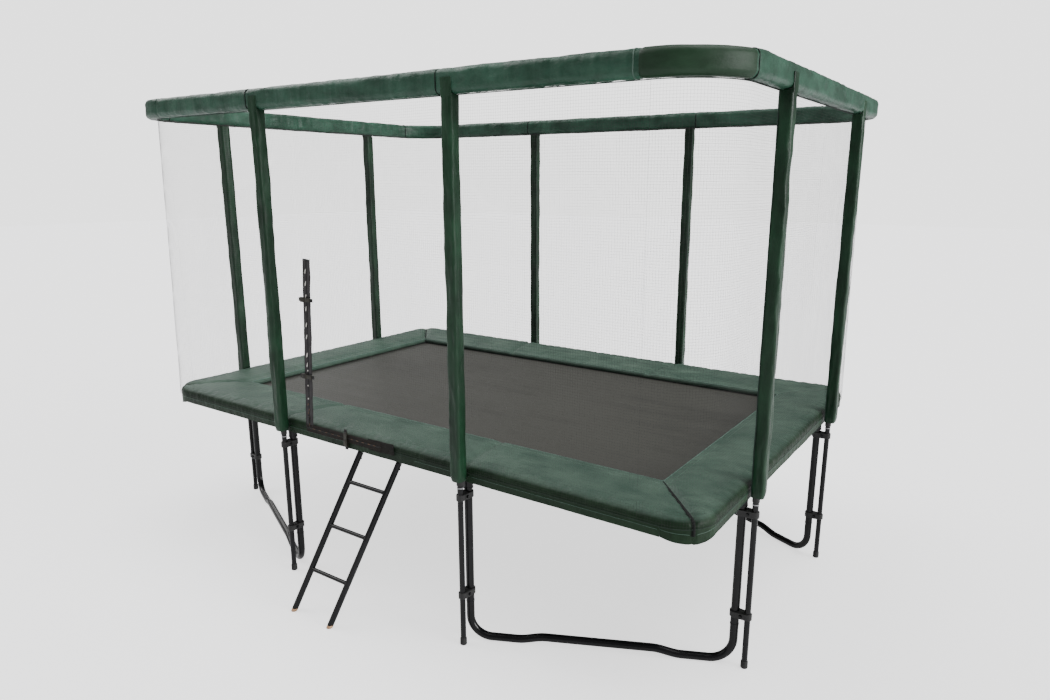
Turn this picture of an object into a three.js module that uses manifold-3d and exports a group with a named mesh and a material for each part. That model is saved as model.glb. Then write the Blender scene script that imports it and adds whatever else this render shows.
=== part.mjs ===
// A rectangular garden trampoline with a safety enclosure, a padded rim, a zipped net door and a ladder.
// Millimetres, +Z up. The origin is on the ground, under the middle of the object with its ladder.
// +X runs along the long side, and the door and the ladder are on the long side at -Y.
// Everything is drawn about the middle of the frame and moved back as a whole at the end.
import * as THREE from "three";
import { mergeVertices } from "three/addons/utils/BufferGeometryUtils.js";
import Module from "manifold-3d";

const wasm = await Module();
wasm.setup();

// ---- Driving dimensions ----

// Facets and fits.
const TUBE_SIDES = 10;
const RING_SIDES = 8; // of the hidden ring tube and the holes round it
const BEND_STEPS = 4;
const ROUND_STEPS = 2; // facets of a rounded edge
const SEAT = 0.3; // gap between faces that meet
const SLIP = 0.5; // gap round a tube in its sleeve

// Frame: one rounded rectangle of steel tube, in four bent corners and two straight rails.
const FRAME_LENGTH = 3660; // over the outside of the tube
const FRAME_WIDTH = 2440;
const FRAME_HEIGHT = 893; // ground to the middle of the tube
const FRAME_TUBE = 42; // diameter
const FRAME_BEND = 140; // radius of the corner at the middle of the tube
const SPIGOT_LENGTH = 60; // swaged end that slips into the next tube
const SPIGOT_WALL = 2; // step from a tube's outside to its swaged end

// Legs: two uprights and one bent base across each corner.
const LONG_LEG_X = 650; // upright under the long side, from the middle
const SHORT_LEG_Y = 650; // upright under the short side, from the middle
const LEG_TUBE = 40;
const SOCKET_TUBE = 47; // short sleeve under the frame that takes an upright
const SOCKET_LENGTH = 57; // below the underside of the frame tube
const SOCKET_REACH = 70; // from the end of the corner tube to its socket
const LEG_JOINT_HEIGHT = 210; // where an upright slips over the base
const LEG_BEND = 110;
const BASE_FOOT_RUN = 130; // length that lies on the ground beside each bend
const BASE_RISE = 22; // lift of the middle of the base
const BASE_RAMP = 140; // length over which it is lifted

// Enclosure poles, outside the frame.
const POLE_TUBE = 28;
const POLE_OFFSET = 60; // middle of a pole from the middle of the frame tube
const POLE_CAP = 35; // rubber foot
const POLE_CAP_HEIGHT = 38;
const SADDLE_TUBE = 38; // moulded cap that holds the ring
const SADDLE_HEIGHT = 48;
const LOW_BRACKET_RISE = 60; // middle of the lower clamp above the joint of the leg
const HIGH_BRACKET_DROP = 108; // middle of the upper clamp below the frame
const BRACKET_HEIGHT = 34;
const BRACKET_WALL = 6;
const BOLT_HEAD = 13;
const BOLT_HEAD_HEIGHT = 8;
const BOLT_Y = -28; // from the middle of the pole
const CLAMP_FLAT = 0.4; // share of a clamp's half width that is flat round the leg
const CLAMP_NOSE = 0.5; // the same round the pole

// Foam sleeves of the poles, flattened boxes in section.
const SLEEVE_WIDTH = 60; // along the side of the trampoline
const SLEEVE_INNER = 22; // from the middle of the pole towards the net
const SLEEVE_OUTER = 40; // from the middle of the pole outwards
const SLEEVE_CORNER = 15;
const SLEEVE_BOTTOM_DROP = 21; // lower end below the middle of the frame tube
const SLEEVE_NECK = 42; // length of the drawn-in lower end
const SLEEVE_NECK_SCALE = 0.74;
const SLEEVE_TOP_RISE = 13; // end of the sleeve above the middle of the ring

// Ring: a rounded rectangle of thin tube on the poles, in thick foam sleeves.
const RING_RISE = 1764; // from the middle of the frame tube to the middle of the ring
const RING_TUBE = 32;
const RING_BEND = 300;
const RING_SLEEVE_HEIGHT = 104;
const RING_SLEEVE_DEPTH = 72;
const RING_SLEEVE_CORNER = 28;
const RING_SEAM_STEP = 28; // joint between a long sleeve and an end sleeve, before the bend
const NOTCH_INNER = 12; // where a pole sleeve bites into a ring sleeve, from the middle of the pole

// Rim padding: four mitred cushions with a hanging skirt.
const PAD_END_REACH = 309; // from the middle of the frame tube to the inner edge of an end cushion
const PAD_SIDE_REACH = 351; // the same for a long cushion
const PAD_OPENING_BEND = 12;
const PAD_THICKNESS = 30;
const PAD_INNER_DROP = 13; // the inner edge lies lower than the edge on the frame
const PAD_SHOULDER = 30; // width of the rounded outer shoulder
const PAD_LIP_UNDER = 5; // how far the underside stops before the inner edge
const PAD_LIP_EDGE = 4; // width of the rounded inner edge
const PAD_LIP_ROUND = 6; // height of the rounded inner edge
const SKIRT_GAP = 6; // between the frame tube and the skirt
const SKIRT_THICKNESS = 3;
const SKIRT_DROP = 58; // below the underside of the padding
const SKIRT_HEM_RISE = 20; // where the loose front skirt is sewn on, above the middle of the frame
const LONG_SEAM_X = 660; // cross seams of the long cushions
const SEAM_HALF_WIDTH = 10;
const SEAM_DEPTH = 4;
const LOOSE_SKIRT_END = 20; // stop of the loose skirt before the corner bend

// Jumping mat, its webbing hem and the springs.
const MAT_RISE = 3; // middle of the mat above the middle of the frame tube
const MAT_THICKNESS = 4;
const SPRING_SPAN = 215; // from the frame tube to the edge of the hem
const HEM_WIDTH = 38;
const HEM_THICKNESS = 8;
const HEM_BEND = 60;
const SPRING_BARREL = 16; // diameter
const SPRING_HOLD = 12; // how far a spring's end reaches into the hem
const SPRING_HOOK = 38; // length of each hook
const LONG_SIDE_SPRINGS = 19;
const SHORT_SIDE_SPRINGS = 11;
const SPRING_SIDES = 4;
const SPRING_CORNER = 93; // last spring of a side, from the corner of the hem

// Net: four panels with strands on a coarse grid.
const NET_OFFSET = 35; // middle of the net outside the middle of the frame tube
const NET_THICKNESS = 2.4;
const NET_BOTTOM_RISE = 12; // lower edge above the middle of the frame tube
const NET_HEM = 30; // sewn band at the top and bottom
const NET_STRAND = 7;
const NET_ROWS = 3;
const LONG_NET_COLUMNS = 8;
const SHORT_NET_COLUMNS = 4;
const CORNER_NET_COLUMNS = BEND_STEPS;
const NET_CORNER_GAP = 5; // between the net and the skirt round the corner

// Door: a zip down the net and along the skirt, and three side-release buckles.
const ZIP_TOP_X = -383;
const ZIP_TOP_RISE = 959; // above the middle of the frame tube
const ZIP_CORNER_X = -448;
const ZIP_CORNER_RISE = 22;
const ZIP_END_X = 105;
const ZIP_TAPE = 44; // width
const ZIP_TAPE_THICKNESS = 2.4;
const ZIP_TEETH = 6; // width of the closed row of teeth
const ZIP_TEETH_HEIGHT = 2;
const ZIP_PATCH = { length: 92, height: 62, thickness: 3.2 };
const SLIDER = { length: 24, width: 14, height: 6 };
const SLIDER_START = 45; // rest place of the slider above the corner of the zip
const PULL_TAB = { length: 34, width: 8, thickness: 2.4 };
const MIDDLE_BUCKLE_RISE = 320; // above the middle of the frame tube
const UPPER_BUCKLE_RISE = 743;
const LOWER_BUCKLE_X = -151;
const BUCKLE_HOUSING = { length: 36, width: 26, height: 12 };
const BUCKLE_CLIP = { length: 46, width: 24, height: 8 };
const BUCKLE_TONGUE = { length: 22, width: 15, height: 4 };
const BUCKLE_OFFSET = 8; // mouth of the housing from the middle of the zip

// Ladder: two tubes with flat hooks and three round rungs. Its feet stand out to the left.
const LADDER_RAIL = 32;
const LADDER_WIDTH = 280; // between the middles of the rails
const LADDER_FOOT_X = -292; // left rail on the ground
const LADDER_SPREAD = 345; // foot of the rails outside the middle of the frame tube
const LADDER_TOP_X = -70; // left rail at its hook
const LADDER_TOP_DROP = 45; // end of a rail below the middle of the frame tube
const RUNG_TUBE = 22;
const RUNG_STEP = 233;
const UPPER_RUNG_DROP = 201; // below the middle of the frame tube
const RUNG_SEAT = 10; // depth of the hole that takes the end of a rung
const HOOK_WIDTH = 24;
const HOOK_THICKNESS = 4;
const HOOK_GAP = 0.5;
const HOOK_STEPS = 6; // facets of its half circle
const HOOK_RUN = 81; // straight length below the middle of the frame tube
const HOOK_TIP = 13; // inner end of the hook below the middle of the frame tube

const CENTRE_SHIFT = 130; // middle of the frame behind the origin, half of what the ladder adds

// ---- Places worked out from them ----

const frameX = (FRAME_LENGTH - FRAME_TUBE) / 2;
const frameY = (FRAME_WIDTH - FRAME_TUBE) / 2;
const frameTop = FRAME_HEIGHT + FRAME_TUBE / 2;
const frameBottom = FRAME_HEIGHT - FRAME_TUBE / 2;
const ringHeight = FRAME_HEIGHT + RING_RISE;
const bracketHeights = [LEG_JOINT_HEIGHT + LOW_BRACKET_RISE, FRAME_HEIGHT - HIGH_BRACKET_DROP];
const sleeveBottom = FRAME_HEIGHT - SLEEVE_BOTTOM_DROP;
const poleX = frameX + POLE_OFFSET;
const poleY = frameY + POLE_OFFSET;
const ringSeamX = poleX - RING_BEND - RING_SEAM_STEP;
const cornerStartX = LONG_LEG_X - SOCKET_REACH;
const ladderHooks = [LADDER_TOP_X, LADDER_TOP_X + LADDER_WIDTH];
const ladderFootY = -frameY - LADDER_SPREAD;
const ladderTop = FRAME_HEIGHT - LADDER_TOP_DROP;
const upperRung = FRAME_HEIGHT - UPPER_RUNG_DROP;
const rungHeights = { lower: upperRung - 2 * RUNG_STEP, middle: upperRung - RUNG_STEP, upper: upperRung };

const padBottom = frameTop + SEAT;
const padTop = padBottom + PAD_THICKNESS;
const skirtOffset = FRAME_TUBE / 2 + SKIRT_GAP + SKIRT_THICKNESS;
const padOuterX = frameX + skirtOffset;
const padOuterY = frameY + skirtOffset;
const padOuterBend = FRAME_BEND + skirtOffset;
const padInnerX = frameX - PAD_END_REACH;
const padInnerY = frameY - PAD_SIDE_REACH;
const skirtBottom = padBottom - SKIRT_DROP;
const skirtHemTop = FRAME_HEIGHT + SKIRT_HEM_RISE;
const looseSkirtX = padOuterX - padOuterBend - LOOSE_SKIRT_END;

const matHeight = FRAME_HEIGHT + MAT_RISE;
const hemX = frameX - FRAME_TUBE / 2 - SPRING_SPAN;
const hemY = frameY - FRAME_TUBE / 2 - SPRING_SPAN;

const netBottom = FRAME_HEIGHT + NET_BOTTOM_RISE;
const netX = frameX + NET_OFFSET;
const netY = frameY + NET_OFFSET;
const netFace = netY + NET_THICKNESS / 2;

const zipTop = { x: ZIP_TOP_X, z: FRAME_HEIGHT + ZIP_TOP_RISE };
const zipCorner = { x: ZIP_CORNER_X, z: FRAME_HEIGHT + ZIP_CORNER_RISE };
const middleBuckle = FRAME_HEIGHT + MIDDLE_BUCKLE_RISE;
const upperBuckle = FRAME_HEIGHT + UPPER_BUCKLE_RISE;

const hookInnerRadius = (FRAME_TUBE / 2 + HOOK_GAP) / Math.cos(Math.PI / (2 * HOOK_STEPS));
const hookOuterRadius = hookInnerRadius + HOOK_THICKNESS;

// ---- Materials ----

const paint = (color, roughness, metalness) =>
  new THREE.MeshStandardMaterial({ color, roughness, metalness });
const blackSteel = paint(0x1c1d1f, 0.42, 0.6);
const foamCover = paint(0x1f4a36, 0.55, 0);
const padCover = paint(0x4a7060, 0.5, 0);
const matFabric = paint(0x4a4844, 0.85, 0);
const springSteel = paint(0xa9adb0, 0.35, 0.9);
const netCord = paint(0x2a2c2e, 0.9, 0);
const zipFabric = paint(0x171717, 0.8, 0);
const moulding = paint(0x111214, 0.5, 0);

// ---- Helpers ----

const at = (x, y, z) => new THREE.Vector3(x, y, z);
const flat = (x, y) => new THREE.Vector2(x, y);
const range = (count) => Array.from({ length: count }, (_, i) => i);

// A closed geometry as a solid that can be joined and cut.
function solidOf(geometry) {
  const bare = geometry.clone();
  bare.deleteAttribute("normal");
  bare.deleteAttribute("uv");
  const merged = mergeVertices(bare, 1e-3);
  const vertProperties = merged.attributes.position.array;
  const triVerts = new Uint32Array(merged.index.array);
  return new wasm.Manifold(new wasm.Mesh({ numProp: 3, vertProperties, triVerts }));
}

function geometryOf(solid) {
  const { vertProperties, triVerts } = solid.getMesh();
  const geometry = new THREE.BufferGeometry();
  geometry.setAttribute("position", new THREE.BufferAttribute(vertProperties, 3));
  geometry.setIndex(new THREE.BufferAttribute(triVerts, 1));
  geometry.computeVertexNormals();
  return geometry;
}

const join = (...pieces) =>
  geometryOf(pieces.map(solidOf).reduce((whole, piece) => whole.add(piece)));
const cut = (piece, ...tools) =>
  geometryOf(tools.map(solidOf).reduce((rest, tool) => rest.subtract(tool), solidOf(piece)));

// A path through given points; its direction at a point halves the angle between the two runs there.
class Route extends THREE.Curve {
  constructor(points) {
    super();
    this.points = points;
  }
  indexAt(u) {
    return Math.round(u * (this.points.length - 1));
  }
  getPoint(u) {
    return this.points[this.indexAt(u)].clone();
  }
  getPointAt(u) {
    return this.getPoint(u);
  }
  getTangentAt(u) {
    const i = this.indexAt(u);
    const last = this.points.length - 1;
    const into = this.points[Math.max(i, 1)].clone().sub(this.points[Math.max(i, 1) - 1]);
    const out = this.points[Math.min(i + 1, last)].clone().sub(this.points[Math.min(i, last - 1)]);
    return into.normalize().add(out.normalize()).normalize();
  }
}

// A section swept along points. On a level path the section's x points down and its y to the left.
function sweep(section, points) {
  return new THREE.ExtrudeGeometry(new THREE.Shape(section), {
    steps: points.length - 1,
    bevelEnabled: false,
    extrudePath: new Route(points),
  });
}

const circle = (radius, sides = TUBE_SIDES) =>
  range(sides).map((i) => {
    const angle = (2 * Math.PI * i) / sides;
    return flat(radius * Math.cos(angle), radius * Math.sin(angle));
  });
const tube = (points, radius, sides) => sweep(circle(radius, sides), points);
const post = (x, y, bottom, top, radius, sides) =>
  tube([at(x, y, bottom), at(x, y, top)], radius, sides);
// The radius of a hole whose flats clear a round tube by the given gap.
const clear = (radius, gap, sides = TUBE_SIDES) => (radius + gap) / Math.cos(Math.PI / sides);

function box(x0, x1, y0, y1, z0, z1) {
  const geometry = new THREE.BoxGeometry(x1 - x0, y1 - y0, z1 - z0);
  return geometry.translate((x0 + x1) / 2, (y0 + y1) / 2, (z0 + z1) / 2);
}

// A rectangle with rounded corners, counter-clockwise.
function roundedRectangle(x0, x1, y0, y1, radius, steps = ROUND_STEPS) {
  const corners = [
    [x1 - radius, y1 - radius, 0],
    [x0 + radius, y1 - radius, 1],
    [x0 + radius, y0 + radius, 2],
    [x1 - radius, y0 + radius, 3],
  ];
  return corners.flatMap(([x, y, quarter]) =>
    range(steps + 1).map((i) => {
      const angle = (quarter + i / steps) * (Math.PI / 2);
      return flat(x + radius * Math.cos(angle), y + radius * Math.sin(angle));
    }),
  );
}

const plate = (outline, bottom, thickness) =>
  new THREE.ExtrudeGeometry(new THREE.Shape(outline), {
    depth: thickness,
    bevelEnabled: false,
  }).translate(0, 0, bottom);

// A solid through rings of equally many points, closed at both ends with the given outline's faces.
function loft(rings, outline) {
  const count = outline.length;
  const index = [];
  range(rings.length - 1).forEach((i) =>
    range(count).forEach((j) => {
      const a = i * count + j;
      const b = i * count + ((j + 1) % count);
      index.push(a, b, a + count, b, b + count, a + count);
    }),
  );
  const last = (rings.length - 1) * count;
  THREE.ShapeUtils.triangulateShape(outline, []).forEach(([a, b, c]) => {
    index.push(c, b, a);
    index.push(last + a, last + b, last + c);
  });
  const geometry = new THREE.BufferGeometry().setFromPoints(rings.flat());
  geometry.setIndex(index);
  geometry.computeVertexNormals();
  return geometry;
}

// Points along the back of a rounded rectangle, round its right corner and along its right side.
function cornerPoints(halfX, halfY, bend, startX, endY, height) {
  const arc = range(BEND_STEPS + 1).map((i) => {
    const angle = (Math.PI / 2) * (1 - i / BEND_STEPS);
    return at(halfX - bend + bend * Math.cos(angle), halfY - bend + bend * Math.sin(angle), height);
  });
  return [at(startX, halfY, height), ...arc, at(halfX, endY, height)];
}

// Points round the whole right-hand end, from the back to the front.
function endPoints(halfX, halfY, bend, startX, height) {
  const back = cornerPoints(halfX, halfY, bend, startX, 0, height).slice(0, -1);
  const front = back.map((point) => at(point.x, -point.y, point.z)).reverse();
  return [...back, ...front];
}

const trampoline = new THREE.Group();
trampoline.position.y = CENTRE_SHIFT;
const quarters = [
  { name: "back_right", x: 1, y: 1 },
  { name: "back_left", x: -1, y: 1 },
  { name: "front_right", x: 1, y: -1 },
  { name: "front_left", x: -1, y: -1 },
].map(({ name, x, y }) => {
  const group = new THREE.Group();
  group.scale.set(x, y, 1);
  trampoline.add(group);
  return { name, group, front: y < 0 };
});

function piece(name, geometry, material, parent = trampoline) {
  const mesh = new THREE.Mesh(geometry, material);
  mesh.name = name;
  parent.add(mesh);
  return mesh;
}

// The two uprights and poles of a quarter: their places and the turn of their outward side.
const stands = [
  { side: "long", legX: LONG_LEG_X, legY: frameY, poleX: LONG_LEG_X, poleY, turn: 0 },
  { side: "short", legX: frameX, legY: SHORT_LEG_Y, poleX, poleY: SHORT_LEG_Y, turn: -Math.PI / 2 },
];

// ---- Frame ----

const frameRadius = FRAME_TUBE / 2;
const spigotRadius = frameRadius - SPIGOT_WALL;
const frameBoreRadius = clear(spigotRadius, SEAT);
const legRadius = LEG_TUBE / 2;
const socketBoreRadius = clear(legRadius, SLIP);
const socketCeiling = frameBottom - SPIGOT_WALL;

// A bent corner tube with its two leg sockets. Its short-side end is a spigot or a bore.
function frameCorner(hasSpigot) {
  const run = cornerPoints(frameX, frameY, FRAME_BEND, cornerStartX, 0, FRAME_HEIGHT);
  const sockets = stands.map(({ legX, legY }) =>
    post(legX, legY, frameBottom - SOCKET_LENGTH, FRAME_HEIGHT, SOCKET_TUBE / 2),
  );
  const socketBores = stands.map(({ legX, legY }) =>
    post(legX, legY, frameBottom - SOCKET_LENGTH - 1, socketCeiling, socketBoreRadius),
  );
  const railBore = tube(
    [at(cornerStartX - 1, frameY, FRAME_HEIGHT), at(cornerStartX + SPIGOT_LENGTH + 1, frameY, FRAME_HEIGHT)],
    frameBoreRadius,
  );
  const alongSide = (fromY, toY, radius) =>
    tube([at(frameX, fromY, FRAME_HEIGHT), at(frameX, toY, FRAME_HEIGHT)], radius);
  const body = join(tube(run, frameRadius), ...sockets);
  return hasSpigot
    ? cut(join(body, alongSide(1, -SPIGOT_LENGTH, spigotRadius)), railBore, ...socketBores)
    : cut(body, railBore, alongSide(SPIGOT_LENGTH + 1, -1, frameBoreRadius), ...socketBores);
}

// The corner tube of the front half is shortened a hair so that it meets the back one.
const frontCorner = cut(
  frameCorner(true),
  cut(
    box(frameX - FRAME_TUBE, frameX + FRAME_TUBE, -1, SEAT, frameBottom - 1, frameTop + 1),
    tube([at(frameX, 2, FRAME_HEIGHT), at(frameX, -2, FRAME_HEIGHT)], spigotRadius),
  ),
);
const backCorner = frameCorner(false);
quarters.forEach(({ name, group, front }) =>
  piece("frame_corner_" + name, front ? frontCorner : backCorner, blackSteel, group),
);

const railEnd = cornerStartX - SEAT;
const frameRail = join(
  tube([at(-railEnd, 0, 0), at(railEnd, 0, 0)], frameRadius),
  tube([at(-cornerStartX - SPIGOT_LENGTH, 0, 0), at(cornerStartX + SPIGOT_LENGTH, 0, 0)], spigotRadius),
);
piece("frame_rail_back", frameRail, blackSteel).position.set(0, frameY, FRAME_HEIGHT);
piece("frame_rail_front", frameRail, blackSteel).position.set(0, -frameY, FRAME_HEIGHT);

// ---- Legs ----

const legSpigotRadius = legRadius - SPIGOT_WALL;
const upright = cut(
  post(0, 0, LEG_JOINT_HEIGHT, socketCeiling - SEAT, legRadius),
  post(0, 0, LEG_JOINT_HEIGHT - 1, LEG_JOINT_HEIGHT + SPIGOT_LENGTH + 1, clear(legSpigotRadius, SEAT)),
);

// The base in its own upright plane: down, round a bend, along the ground, and up over a low hump.
const baseSpan = Math.hypot(frameX - LONG_LEG_X, frameY - SHORT_LEG_Y);
function basePoints() {
  const bendTop = legRadius + LEG_BEND;
  const bend = range(BEND_STEPS + 1).map((i) => {
    const angle = (Math.PI / 2) * (i / BEND_STEPS);
    return at(LEG_BEND * (1 - Math.cos(angle)), 0, bendTop - LEG_BEND * Math.sin(angle));
  });
  const rampStart = LEG_BEND + BASE_FOOT_RUN;
  const half = [
    at(0, 0, LEG_JOINT_HEIGHT - SEAT),
    ...bend,
    at(rampStart, 0, legRadius),
    at(rampStart + BASE_RAMP, 0, legRadius + BASE_RISE),
  ];
  const otherHalf = half.map((point) => at(baseSpan - point.x, 0, point.z)).reverse();
  return [...half, ...otherHalf];
}
const spigotTop = LEG_JOINT_HEIGHT + SPIGOT_LENGTH;
const legBase = join(
  tube(basePoints(), legRadius),
  post(0, 0, LEG_JOINT_HEIGHT - SPIGOT_LENGTH, spigotTop, legSpigotRadius),
  post(baseSpan, 0, LEG_JOINT_HEIGHT - SPIGOT_LENGTH, spigotTop, legSpigotRadius),
);
quarters.forEach(({ name, group }) => {
  stands.forEach(({ side, legX, legY }) =>
    piece("leg_upright_" + name + "_" + side, upright, blackSteel, group).position.set(legX, legY, 0),
  );
  const base = piece("leg_base_" + name, legBase, blackSteel, group);
  base.position.set(LONG_LEG_X, frameY, 0);
  base.rotation.z = Math.atan2(SHORT_LEG_Y - frameY, frameX - LONG_LEG_X);
});

// ---- Enclosure poles ----

const ringRadius = RING_TUBE / 2;
const poleRadius = POLE_TUBE / 2;

// A clamp round the pole and its leg, with a bolt through the block between them.
function bracket(height) {
  const bottom = height - BRACKET_HEIGHT / 2;
  const top = height + BRACKET_HEIGHT / 2;
  const legHalf = legRadius + BRACKET_WALL;
  const poleHalf = poleRadius + BRACKET_WALL;
  const outline = [
    flat(-legHalf, -POLE_OFFSET + legHalf * CLAMP_FLAT),
    flat(-legHalf, -POLE_OFFSET - legHalf * CLAMP_FLAT),
    flat(-legHalf * CLAMP_FLAT, -POLE_OFFSET - legHalf),
    flat(legHalf * CLAMP_FLAT, -POLE_OFFSET - legHalf),
    flat(legHalf, -POLE_OFFSET - legHalf * CLAMP_FLAT),
    flat(legHalf, -POLE_OFFSET + legHalf * CLAMP_FLAT),
    flat(poleHalf, 0),
    flat(poleHalf * CLAMP_NOSE, poleHalf),
    flat(-poleHalf * CLAMP_NOSE, poleHalf),
    flat(-poleHalf, 0),
  ];
  const bolt = poleHalf + BOLT_HEAD_HEIGHT;
  return join(
    plate(outline, bottom, top - bottom),
    tube([at(-bolt, BOLT_Y, height), at(bolt, BOLT_Y, height)], BOLT_HEAD / 2, 6),
  );
}
const ringBore = (reach, radius) =>
  tube([at(-reach, 0, ringHeight), at(reach, 0, ringHeight)], radius, RING_SIDES);
const saddleBottom = ringHeight - SADDLE_HEIGHT;
const [lowBracket, highBracket] = bracketHeights;
const legBore = post(
  0,
  -POLE_OFFSET,
  lowBracket - BRACKET_HEIGHT,
  highBracket + BRACKET_HEIGHT,
  clear(legRadius, SLIP),
);
const pole = cut(
  join(
    post(0, 0, 0, POLE_CAP_HEIGHT, POLE_CAP / 2),
    post(0, 0, 1, saddleBottom + 1, poleRadius),
    post(0, 0, saddleBottom, ringHeight, SADDLE_TUBE / 2),
    ...bracketHeights.map(bracket),
  ),
  legBore,
  ringBore(SADDLE_TUBE, ringRadius + SEAT),
);

// ---- Foam sleeves of the poles ----

const sleeveTop = ringHeight + SLEEVE_TOP_RISE;
const ringSleeveBottom = ringHeight - RING_SLEEVE_HEIGHT / 2;
function poleSleeve() {
  const half = SLEEVE_WIDTH / 2;
  const outline = roundedRectangle(-half, half, -SLEEVE_INNER, SLEEVE_OUTER, SLEEVE_CORNER);
  const ring = (scale, height) => outline.map(({ x, y }) => at(x * scale, y * scale, height));
  const body = loft(
    [ring(SLEEVE_NECK_SCALE, sleeveBottom), ring(1, sleeveBottom + SLEEVE_NECK), ring(1, sleeveTop)],
    outline,
  );
  const slot = clear(ringRadius, SLIP, RING_SIDES);
  return cut(
    body,
    post(0, 0, sleeveBottom - 1, sleeveTop + 1, clear(poleRadius, SLIP)),
    post(0, 0, saddleBottom - 1, sleeveTop + 1, clear(SADDLE_TUBE / 2, SLIP)),
    ringBore(SLEEVE_WIDTH, slot),
    box(-SLEEVE_WIDTH, SLEEVE_WIDTH, -slot, slot, ringHeight, sleeveTop + 1),
    box(-SLEEVE_WIDTH, SLEEVE_WIDTH, -SLEEVE_OUTER, -NOTCH_INNER, ringSleeveBottom - SEAT, sleeveTop + 1),
  );
}
const foamSleeve = poleSleeve();
quarters.forEach(({ name, group }) =>
  stands.forEach((stand) => {
    const own = name + "_" + stand.side;
    const parts = [
      piece("pole_" + own, pole, blackSteel, group),
      piece("pole_sleeve_" + own, foamSleeve, foamCover, group),
    ];
    parts.forEach((part) => {
      part.position.set(stand.poleX, stand.poleY, 0);
      part.rotation.z = stand.turn;
    });
  }),
);

// ---- Ring and its foam sleeves ----

const ringEnd = (startX, radius) =>
  tube(endPoints(poleX, poleY, RING_BEND, startX, ringHeight), radius, RING_SIDES);
const rightHalf = ringEnd(-1, ringRadius);
const leftHalf = rightHalf.clone().rotateZ(Math.PI);
piece("ring_tube", join(rightHalf, leftHalf), blackSteel);

const ringHole = clear(ringRadius, SLIP, RING_SIDES);
// The section of a ring sleeve: x down, y outwards.
const ringSection = roundedRectangle(
  -RING_SLEEVE_HEIGHT / 2,
  RING_SLEEVE_HEIGHT / 2,
  -RING_SLEEVE_DEPTH / 2,
  RING_SLEEVE_DEPTH / 2,
  RING_SLEEVE_CORNER,
);
// The space that a pole's saddle and the top of its sleeve take out of a ring sleeve.
const sleeveNotch = join(
  box(
    -SLEEVE_WIDTH / 2 - SEAT,
    SLEEVE_WIDTH / 2 + SEAT,
    -NOTCH_INNER - SEAT,
    SLEEVE_OUTER + SLEEVE_CORNER,
    ringSleeveBottom - 1,
    sleeveTop + SEAT,
  ),
  post(0, 0, ringSleeveBottom - 1, ringHeight + SEAT, clear(SADDLE_TUBE / 2, SLIP)),
);
const longNotches = [-LONG_LEG_X, LONG_LEG_X].map((x) => sleeveNotch.clone().translate(x, poleY, 0));
const longSleeve = cut(
  sweep(ringSection, [at(-ringSeamX, poleY, ringHeight), at(ringSeamX, poleY, ringHeight)]),
  ringBore(ringSeamX + 1, ringHole).translate(0, poleY, 0),
  ...longNotches,
);
const shortNotches = [-SHORT_LEG_Y, SHORT_LEG_Y].map((y) =>
  sleeveNotch.clone().rotateZ(-Math.PI / 2).translate(poleX, y, 0),
);
const endSleeve = cut(
  sweep(ringSection, endPoints(poleX, poleY, RING_BEND, ringSeamX + SEAT, ringHeight)),
  ringEnd(ringSeamX - 1, ringHole),
  ...shortNotches,
);
piece("ring_sleeve_back", longSleeve, foamCover);
piece("ring_sleeve_front", longSleeve, foamCover).rotation.z = Math.PI;
piece("ring_sleeve_right", endSleeve, foamCover);
piece("ring_sleeve_left", endSleeve, foamCover).rotation.z = Math.PI;

// ---- Rim padding ----

// The cushion's section at a place of the given width: x from its outer face outwards, y the height.
function padSection(width, seam) {
  const top = padTop - (seam ? SEAM_DEPTH : 0);
  const innerBottom = padBottom - PAD_INNER_DROP;
  const overFrame = skirtOffset + frameRadius;
  return [
    flat(-width + PAD_LIP_UNDER, innerBottom),
    flat(-overFrame, padBottom),
    flat(-SKIRT_THICKNESS, padBottom),
    flat(-SKIRT_THICKNESS, skirtBottom),
    flat(0, skirtBottom),
    flat(0, padTop - PAD_SHOULDER),
    flat(-PAD_SHOULDER * 0.3, top - PAD_SHOULDER * 0.3),
    flat(-PAD_SHOULDER, top),
    flat(-width * 0.5, top - PAD_INNER_DROP * 0.3),
    flat(-width + PAD_SHOULDER, top - PAD_INNER_DROP),
    flat(-width + PAD_LIP_EDGE, top - PAD_INNER_DROP - PAD_LIP_ROUND),
    flat(-width, innerBottom + PAD_THICKNESS * 0.4),
  ];
}

// One station of a cushion: the outer and the inner edge, joined by a straight line.
function padStation(outer, inner, normal, seam = false) {
  const width = outer.clone().sub(inner).dot(normal);
  return padSection(width, seam).map(({ x, y }) => {
    const place = outer.clone().lerp(inner, -x / width);
    return at(place.x, place.y, y);
  });
}
function bendStation(angle, shift) {
  const normal = flat(Math.cos(angle), Math.sin(angle));
  const outer = flat(padOuterX - padOuterBend, padOuterY - padOuterBend);
  outer.addScaledVector(normal, padOuterBend);
  const inner = flat(padInnerX - PAD_OPENING_BEND, padInnerY - PAD_OPENING_BEND);
  inner.addScaledVector(normal, PAD_OPENING_BEND);
  return padStation(outer.add(shift), inner.add(shift), normal);
}
const mitre = Math.PI / 4;
const bendAngles = range(BEND_STEPS / 2 + 1).map((i) => mitre + (mitre * i) / (BEND_STEPS / 2));
const none = flat(0, 0);
const mirrorX = (ring) => ring.map((point) => at(-point.x, point.y, point.z));
const mirrorY = (ring) => ring.map((point) => at(point.x, -point.y, point.z));

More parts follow.
